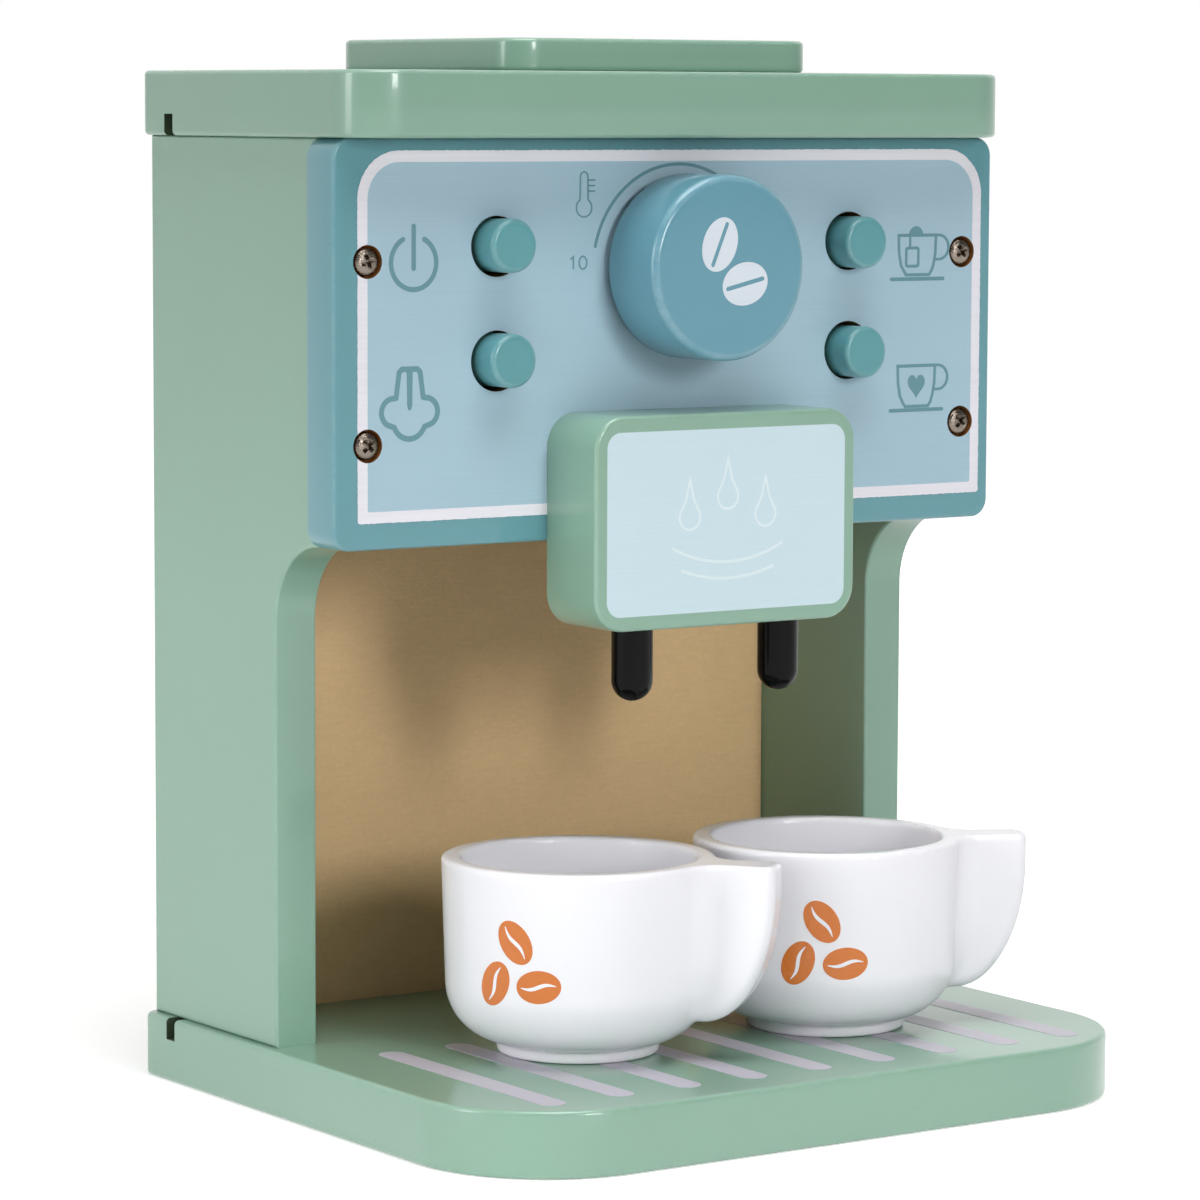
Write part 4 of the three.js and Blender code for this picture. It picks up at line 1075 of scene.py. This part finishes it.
def drive(name, body, template, aim, spots, replaced):
    """Screws of one kind at their seats, each at its own turn, as one piece on its body."""
    mesh = bpy.data.meshes.new(name + "_seats")
    mesh.from_pydata([tuple(np.multiply(spot, MM)) for spot in spots], [], [])
    turns_of = []
    for _ in spots:
        lean = Matrix.Rotation(aim, 3, "X") @ Matrix.Rotation(hand.uniform(0, 1.5), 3, "Z")
        turns_of += list(lean.to_euler())
    mesh.attributes.new("turn", "FLOAT_VECTOR", "POINT").data.foreach_set("vector", turns_of)
    screws = baked(name, screw_rule, {"Screw": template, "Material": screw_steel}, mesh)
    fit(screws, body, "steel", *replaced)


drive("face_screws", "housing", long_screw, TO_FRONT, [(x, -6.0, z) for x, z in screw_spots],
      [f"front_screw_{corner}" for corner in corners])
drive("block_screws", "housing", short_screw, TO_BACK,
      [(KNOB_X + side * 18, 1.4, 116.65) for side in SIDES.values()],
      [f"block_screw_{name}" for name in SIDES])
drive("housing_screws", "housing", short_screw, TO_BACK,
      [(x, 13.4, z) for x, z in zip([x for x, _ in button_spots], (170.8, 125.8) * 2)],
      [f"housing_screw_{corner}" for corner in corners])
drive("tray_screws", "housing", sunk_screw, DOWN, [(x, y, 0.4) for x, y in base_screws],
      [f"base_screw_{name}_{end}" for name in SIDES for end in ("front", "rear")])
drive("knob_pin", "knob", knob_bolt, TO_BACK, [(KNOB_X, 2.4, KNOB_Z)], ["knob_screw"])
for template in (long_screw, short_screw, knob_bolt, sunk_screw):
    bpy.data.objects.remove(template)

# %% [markdown]
# ## The button springs
# A coil spring is a circle swept along a spiral, which is exactly what two nodes do. Each spring
# stands between the floor of its bore and the button's flange.

# %% The springs
SPRING_LOW, SPRING_HIGH = 5.2 * MM, 16.7 * MM
spring_rule, given = rule("coil_spring", Coil_Radius=NUMBER, Wire_Radius=NUMBER, Turns=NUMBER,
                          Length=NUMBER, Start=PLACE, Material=FINISH)
make = partial(add, spring_rule)
coil = make("GeometryNodeCurveSpiral", Resolution=28, Rotations=given["Turns"],
            Start_Radius=given["Coil Radius"], End_Radius=given["Coil Radius"],
            Height=given["Length"])
wire = make("GeometryNodeCurvePrimitiveCircle", Resolution=10, Radius=given["Wire Radius"])
swept = make("GeometryNodeCurveToMesh", Curve=coil, Profile_Curve=wire, Fill_Caps=True)
laid = make("GeometryNodeTransform", Geometry=swept, Translation=given["Start"],
            Rotation=(-math.pi / 2, 0, 0))
ending(spring_rule, laid, given["Material"])
for corner, (x, z) in zip(corners, button_spots):
    floor_end, flange_end = (x * MM, SPRING_HIGH, z * MM), (x * MM, SPRING_LOW, z * MM)
    spring = baked(f"coil_{corner}", spring_rule, {
        "Coil Radius": 3.8 * MM, "Wire Radius": 0.4 * MM, "Turns": 5.0,
        "Length": SPRING_HIGH - SPRING_LOW, "Start": flange_end, "Material": spring_steel})
    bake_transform(spring)
    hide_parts(f"button_spring_{corner}")
    print(spring.name, len(spring.data.polygons), "faces")

# %% [markdown]
# ## The cups
# A cup is turned from wood with a solid ear, dipped in white lacquer. The lacquer fills the corner
# where the ear meets the wall, so the two flow together. Plain turning can't give that corner, but
# a distance field can: every point in space knows how far it is from the wall and from the ear,
# and a rounded union of the two grows the fillet. The field is then skinned with small squares.

# %% Distances to the cup's outlines
CUP_HEIGHT, CUP_RADIUS, CUP_WALL_TOP = 36.0, 25.0, 34.0
BELLY_RADIUS, BELLY_ROUND = 24.3, 11
TABLE_LOW, TABLE_HIGH, TABLE_STEP = (-1.0, -2.0), (41.0, 40.0), 0.1


def outline_distance(points, outline):
    """Signed distance of flat points to a closed outline, negative inside."""
    best = np.full(len(points), 1e9)
    inside = np.zeros(len(points), bool)
    for a, b in zip(outline, np.roll(outline, -1, 0)):
        edge, offset = b - a, points - a
        share = np.clip((offset @ edge) / (edge @ edge), 0, 1)
        best = np.minimum(best, ((offset - share[:, None] * edge) ** 2).sum(1))
        crosses = (a[1] > points[:, 1]) != (b[1] > points[:, 1])
        with np.errstate(divide="ignore", invalid="ignore"):
            meets = (b[0] - a[0]) * (points[:, 1] - a[1]) / (b[1] - a[1]) + a[0]
        inside ^= crosses & (points[:, 0] < meets)
    return np.where(inside, -1, 1) * np.sqrt(best)


def distance_table(outline):
    """A lookup of an outline's distance on a fine flat grid, read back between its points."""
    size = ((np.array(TABLE_HIGH) - TABLE_LOW) / TABLE_STEP).astype(int) + 1
    axes = [TABLE_LOW[k] + TABLE_STEP * np.arange(size[k]) for k in (0, 1)]
    grid = np.stack(np.meshgrid(*axes, indexing="ij"), -1).reshape(-1, 2)
    table = outline_distance(grid, np.array(outline, float)).reshape(size)

    def read(u, v):
        a = np.clip((u - TABLE_LOW[0]) / TABLE_STEP, 0, size[0] - 1.001)
        b = np.clip((v - TABLE_LOW[1]) / TABLE_STEP, 0, size[1] - 1.001)
        i, j = a.astype(int), b.astype(int)
        a, b = a - i, b - j
        return ((1 - a) * (1 - b) * table[i, j] + a * (1 - b) * table[i + 1, j]
                + (1 - a) * b * table[i, j + 1] + a * b * table[i + 1, j + 1])
    return read


belly_centre = BELLY_RADIUS - BELLY_ROUND
foot_angle = math.degrees(math.acos((15.2 - belly_centre) / BELLY_ROUND))
belly_height = 2.3 + BELLY_ROUND * math.sin(math.radians(foot_angle))
wall_at = distance_table([
    (-30, 0.8), (11.0, 0.8), (12.4, 0.0), (14.3, 0.0), (14.65, 0.15), (14.8, 0.5), (15.0, 1.8),
    *arc((belly_centre, belly_height), BELLY_ROUND, -foot_angle, 0, 24),
    (CUP_RADIUS, CUP_WALL_TOP), (25.2, 48), (-30, 48)])
room_at = distance_table([(-30, 4.6), *arc((20.8 - 8, 12.6), 8, -90, 0, 18),
                          (21.5, CUP_WALL_TOP), (21.75, 48), (-30, 48)])
ear_at = distance_table([
    (0, 7), (24.3, 7), *[(24.3 + 13.4 * math.sin(a), 31 - 24 * math.cos(a))
                         for a in np.linspace(0.03, math.pi / 2, 30)],
    (37.7, 36.0), (37.7, 48), (0, 48)])
print("the belly is widest", round(belly_height, 2), "mm above the foot")

# %% The cup's own distance field
EAR_HALF, EAR_ROUND, RIM_ROUND = 4.0, 2.0, 0.7
FILLET_HEIGHTS, FILLETS = (7, 17), (1.1, 4.4)


def rounded_join(first, second, radius):
    """Union of two distances with a true fillet between them."""
    corner = np.hypot(np.maximum(radius - first, 0), np.maximum(radius - second, 0))
    return np.maximum(radius, np.minimum(first, second)) - corner


def rounded_common(first, second, radius):
    """What two distances have in common, with a rounded edge: the union turned inside out."""
    return -rounded_join(-first, -second, radius)


def cup_distance(points):
    """How far points are from the cup's surface, below zero in its wood."""
    x, y, z = points.T
    radius = np.hypot(x, y)
    flat_ear = np.where(x > 0, ear_at(np.abs(x), z), 8.0)
    ear = rounded_common(flat_ear, np.abs(y) - EAR_HALF, EAR_ROUND)
    whole = rounded_join(wall_at(radius, z), ear, np.interp(z, FILLET_HEIGHTS, FILLETS))
    whole = rounded_common(whole, z - CUP_HEIGHT, RIM_ROUND)
    return rounded_common(whole, -room_at(radius, z), RIM_ROUND)


# %% Skinning the field
NUDGE, PULLS = 0.02, 5


def skinned(distance, low, high, cell):
    """A closed skin of squares on the zero of a distance field, pulled exactly onto it."""
    size = np.ceil((np.array(high) - low) / cell).astype(int) + 1
    axes = [low[k] + cell * np.arange(size[k]) for k in range(3)]
    y, z = (sheet.ravel() for sheet in np.meshgrid(axes[1], axes[2], indexing="ij"))
    inside = np.array([(distance(np.stack([np.full(y.size, x), y, z], 1)) < 0).reshape(size[1:])
                       for x in axes[0]])
    corners = [inside[i:size[0] - 1 + i, j:size[1] - 1 + j, k:size[2] - 1 + k]
               for i in (0, 1) for j in (0, 1) for k in (0, 1)]
    crossed = np.any(corners, 0) & ~np.all(corners, 0)
    spots = np.argwhere(crossed)
    number = np.full(size - 1, -1)
    number[crossed] = np.arange(len(spots))
    points = np.array(low) + cell * (spots + 0.5)
    for _ in range(PULLS):
        slope = np.stack([distance(points + step) - distance(points - step)
                          for step in np.eye(3) * NUDGE], 1) / (2 * NUDGE)
        move = slope * (distance(points) / np.maximum((slope ** 2).sum(1), 0.2))[:, None]
        points -= np.clip(move, -cell, cell)
    faces, unit = [], np.eye(3, dtype=int)
    for axis in range(3):
        one, two = (k for k in range(3) if k != axis)
        here, there = [slice(1, -1)] * 3, [slice(1, -1)] * 3
        here[axis], there[axis] = slice(0, -1), slice(1, None)
        a, b = inside[tuple(here)], inside[tuple(there)]
        for enters in (True, False):
            edges = np.argwhere((a != b) & (a == enters))
            squares = np.stack([number[tuple((edges + i * unit[one] + j * unit[two]).T)]
                                for i, j in ((0, 0), (1, 0), (1, 1), (0, 1))], 1)
            faces.append(squares if enters != (axis == 1) else squares[:, ::-1])
    return points, np.concatenate(faces)


cup_points, cup_faces = skinned(cup_distance, (-27.0, -27.0, -1.0), (40.0, 27.0, 38.0), 0.6)
print("cup skin:", len(cup_points), "points,", len(cup_faces), "squares")

# %% [markdown]
# ## Badges and standing the cups
# Both cups are the same turning, stood at their own places and turned so that their ears point
# outwards. The orange badge on each is wrapped round the wall: its points are given as a distance
# round the cup and a height, and a small lift keeps the ink just proud of the lacquer. It shows
# three coffee beans in a ring, each with a bent white crease.

# %% Wrapping a badge on the wall
def wall_radius(height):
    """The cup's outer radius at a height over its foot."""
    if height < belly_height:
        fall = max((height - belly_height) / BELLY_ROUND, -1)
        return belly_centre + BELLY_ROUND * math.sqrt(1 - fall * fall)
    return BELLY_RADIUS + 0.7 * (height - belly_height) / (CUP_WALL_TOP - belly_height)


def wrapped(patches, lifts, direction, centre):
    """Patches of rings, from the middle outwards, wrapped on the wall as closed shells."""
    points, faces = [], []
    for rings in patches:
        count, layer, base = len(rings[0]), len(rings) * len(rings[0]), len(points)
        for lift in lifts:
            for u, v in np.concatenate(rings):
                angle, reach = direction + u / CUP_RADIUS, wall_radius(v) + lift
                points.append((centre[0] + reach * math.cos(angle),
                               centre[1] + reach * math.sin(angle), v + BASE_TOP))
        for start, top in ((base, False), (base + layer, True)):
            sheet = [(a + i, a + count + i, a + count + j, a + j)
                     for a in range(start, start + layer - count, count) for i, j in around(count)]
            sheet.append(tuple(range(start, start + count)))
            faces += sheet if top else [face[::-1] for face in sheet]
        last = base + layer - count
        faces += [(last + i, last + j, last + layer + j, last + layer + i)
                  for i, j in around(count)]
    return points, faces


def bean_rings(middle, degrees):
    """Rings of a bean's oval from near its middle to its edge."""
    return [oval(middle, 4.3 * share, 3.0 * share, 40, degrees)
            for share in np.linspace(0.12, 1, 5)]


def crease_rings(middle, degrees, length=6.8, width=0.75):
    """A thin bent crease as rings that shrink onto its own middle line."""
    along = np.linspace(-length / 2, length / 2, 15)
    bend = 0.35 * np.sin(2 * math.pi * along / length)
    half = width / 2 * np.cos(2.8 * along / length)
    return [tilted(middle, np.concatenate([np.stack([along, bend - half * share], 1),
                                           np.stack([along, bend + half * share], 1)[::-1]]),
                   degrees) for share in (0.1, 1.0)]


# %% The cups and their badges
CUPS = {"left": ((-26.2, -15.0), -51.8, -150.1), "right": ((26.9, -19.5), -27.4, -127.3)}
CUP_LIFT, LIFT_HEIGHT = 0.08, 6
BADGE_HEIGHT, BADGE_RING, BADGE_SHIFT = 18.3, 5.2, 0.6
beans = [((BADGE_RING * math.cos(a) - BADGE_SHIFT, BADGE_HEIGHT + BADGE_RING * math.sin(a)),
          math.degrees(a) + 35) for a in np.radians((90, 210, 330))]
for name, (spot, ear_way, badge_way) in CUPS.items():
    height = cup_points[:, 2]
    height = height + CUP_LIFT * (1 - np.clip(height, 0, LIFT_HEIGHT) / LIFT_HEIGHT) + BASE_TOP
    stood = np.column_stack([tilted(spot, cup_points[:, :2], ear_way), height])
    cup = piece_from(f"toy_cup_{name}", (stood.tolist(), cup_faces.tolist()), [white_lacquer],
                     sharp=60)
    fit(cup, f"cup_{name}_body", "white_glaze", f"cup_{name}")
    for title, rings, lifts, material, slot in (
            ("cup_badge", bean_rings, (-0.05, 0.06), badge_ink, "badge_ink"),
            ("badge_creases", crease_rings, (0.03, 0.1), white_lacquer, "white_glaze")):
        patches = [rings(*bean_at) for bean_at in beans]
        shell = wrapped(patches, lifts, math.radians(badge_way), spot)
        fit(piece_from(f"{title}_{name}", shell, [material]), f"cup_{name}_body", slot)

# %% [markdown]
# ## What stays as it is in the CAD model
# Dowels, washer, spacer and the two spring blocks hide inside the toy, and their CAD solids already
# have the right shapes. They only get the right material.

# %% Materials for the hidden parts
for name, node in nodes.items():
    if node.hide_render:
        continue
    finish = nylon if name in ("knob_spacer", "knob_washer") else bare_beech
    node.data.materials.clear()
    node.data.materials.append(finish)
    print("kept", name, "in", finish.name)

# %% [markdown]
# ## The studio
# The toy stands on white paper. The shadows on the rear board tell where the main lamp stands: in
# front, a little above the toy. A tall strip at the left and slightly behind lights the left side,
# a box overhead lights the roof, and two low lamps, which mirrors don't see, stand for light that
# the paper throws back. A dim sky fills the shadows, and mirrors see it bright at the back only.
# The paper glows for the camera, so that it reads as white and still keeps the toy's shadow.

# %% The floor
def camera_only_white(name, base, near_glow, far_glow):
    """Matt paper that glows for the camera and for mirrors, and is clear from below."""
    material = bpy.data.materials.new(name)
    tree = empty_tree(material)
    place = add(tree, "ShaderNodeTexCoord").outputs["Object"]
    pulp = ranged(noise(place, 300), 0.3, 0.7, 0.985)
    paper = add(tree, "ShaderNodeHueSaturation", Value=pulp, Color=base)
    reach = add(tree, "ShaderNodeVectorMath", {"operation": "LENGTH"}, place)
    glow = ranged(reach.outputs["Value"], 0.2, 0.9, near_glow, far_glow)
    path = add(tree, "ShaderNodeLightPath").outputs
    seen = plus(path["Is Camera Ray"], path["Is Glossy Ray"], True)
    seen = plus(seen, path["Is Transmission Ray"], True)
    above = add(tree, "ShaderNodeAddShader", None, add(tree, "ShaderNodeBsdfDiffuse", Color=paper),
                add(tree, "ShaderNodeEmission", Strength=times(seen, glow)))
    below = add(tree, "ShaderNodeBsdfTransparent")
    under = add(tree, "ShaderNodeNewGeometry").outputs["Backfacing"]
    sheet = add(tree, "ShaderNodeMixShader", None, under, above, below)
    add(tree, "ShaderNodeOutputMaterial", Surface=sheet)
    return material


FLOOR_HALF, FLOOR_DROP = 6.0, 0.0001
floor_mesh = bpy.data.meshes.new("paper_floor")
floor_mesh.from_pydata([(x * FLOOR_HALF, y * FLOOR_HALF, -FLOOR_DROP)
                        for x, y in ((-1, -1), (1, -1), (1, 1), (-1, 1))], [], [(0, 1, 2, 3)])
floor_mesh.materials.append(camera_only_white("white_paper", (0.9, 0.9, 0.9, 1), 0.5, 1.0))
in_scene("paper_floor", floor_mesh)
print("paper:", 2 * FLOOR_HALF, "metres square")

# %% The sky
SKY_LEVEL, FRONT_LEVEL = 0.05, 0.1
world = bpy.data.worlds.new("studio_sky")
bpy.context.scene.world = world
tree = empty_tree(world)
path = add(tree, "ShaderNodeLightPath").outputs
aim = add(tree, "ShaderNodeSeparateXYZ",
          Vector=add(tree, "ShaderNodeTexCoord").outputs["Generated"])
mirrored = times(path["Is Glossy Ray"], ranged(aim.outputs["Y"], -0.3, 0.3, FRONT_LEVEL))
seen = plus(path["Is Camera Ray"], path["Is Transmission Ray"], True)
level = plus(times(plus(seen, mirrored, True), 1 - SKY_LEVEL), SKY_LEVEL)
sky = add(tree, "ShaderNodeBackground", Color=(1, 1, 1, 1), Strength=level)
add(tree, "ShaderNodeOutputWorld", Surface=sky)
print("the sky lights the toy at", SKY_LEVEL)

# %% The lamps
LAMPS = (  # name, place, target, width, height, watts, spread, seen in mirrors
    ("left_strip", (-1.48, 0.1, 0.35), (0, 0, -0.03), 0.35, 1.3, 1.2, 60, True),
    ("front_strip", (0.02, -1.55, 0.52), (0, 0, 0.02), 0.33, 0.45, 1.13, 60, True),
    ("overhead_box", (-0.05, -0.22, 1.0), (-0.03, -0.08, 0), 0.6, 0.6, 7.4, 180, True),
    ("front_bounce", (-0.05, -0.36, 0.012), (0, 0, 0), 0.8, 0.25, 0.13, 70, False),
    ("left_bounce", (-0.36, 0.0, 0.012), (0, 0, 0), 0.5, 0.25, 0.2, 70, False),
)
for name, place, target, width, height, watts, spread, seen in LAMPS:
    light = bpy.data.lights.new(name, "AREA")
    light.shape, light.size, light.size_y, light.energy = "RECTANGLE", width, height, watts
    light.spread = math.radians(spread)
    lamp = in_scene(name, light)
    lamp.location = place
    lamp.rotation_mode = "QUATERNION"
    lamp.rotation_quaternion = (Vector(target) - Vector(place)).to_track_quat("-Z", "Y")
    lamp.visible_camera, lamp.visible_glossy = False, seen
bpy.context.scene.view_settings.view_transform = "Standard"
print("lamps:", len(LAMPS))
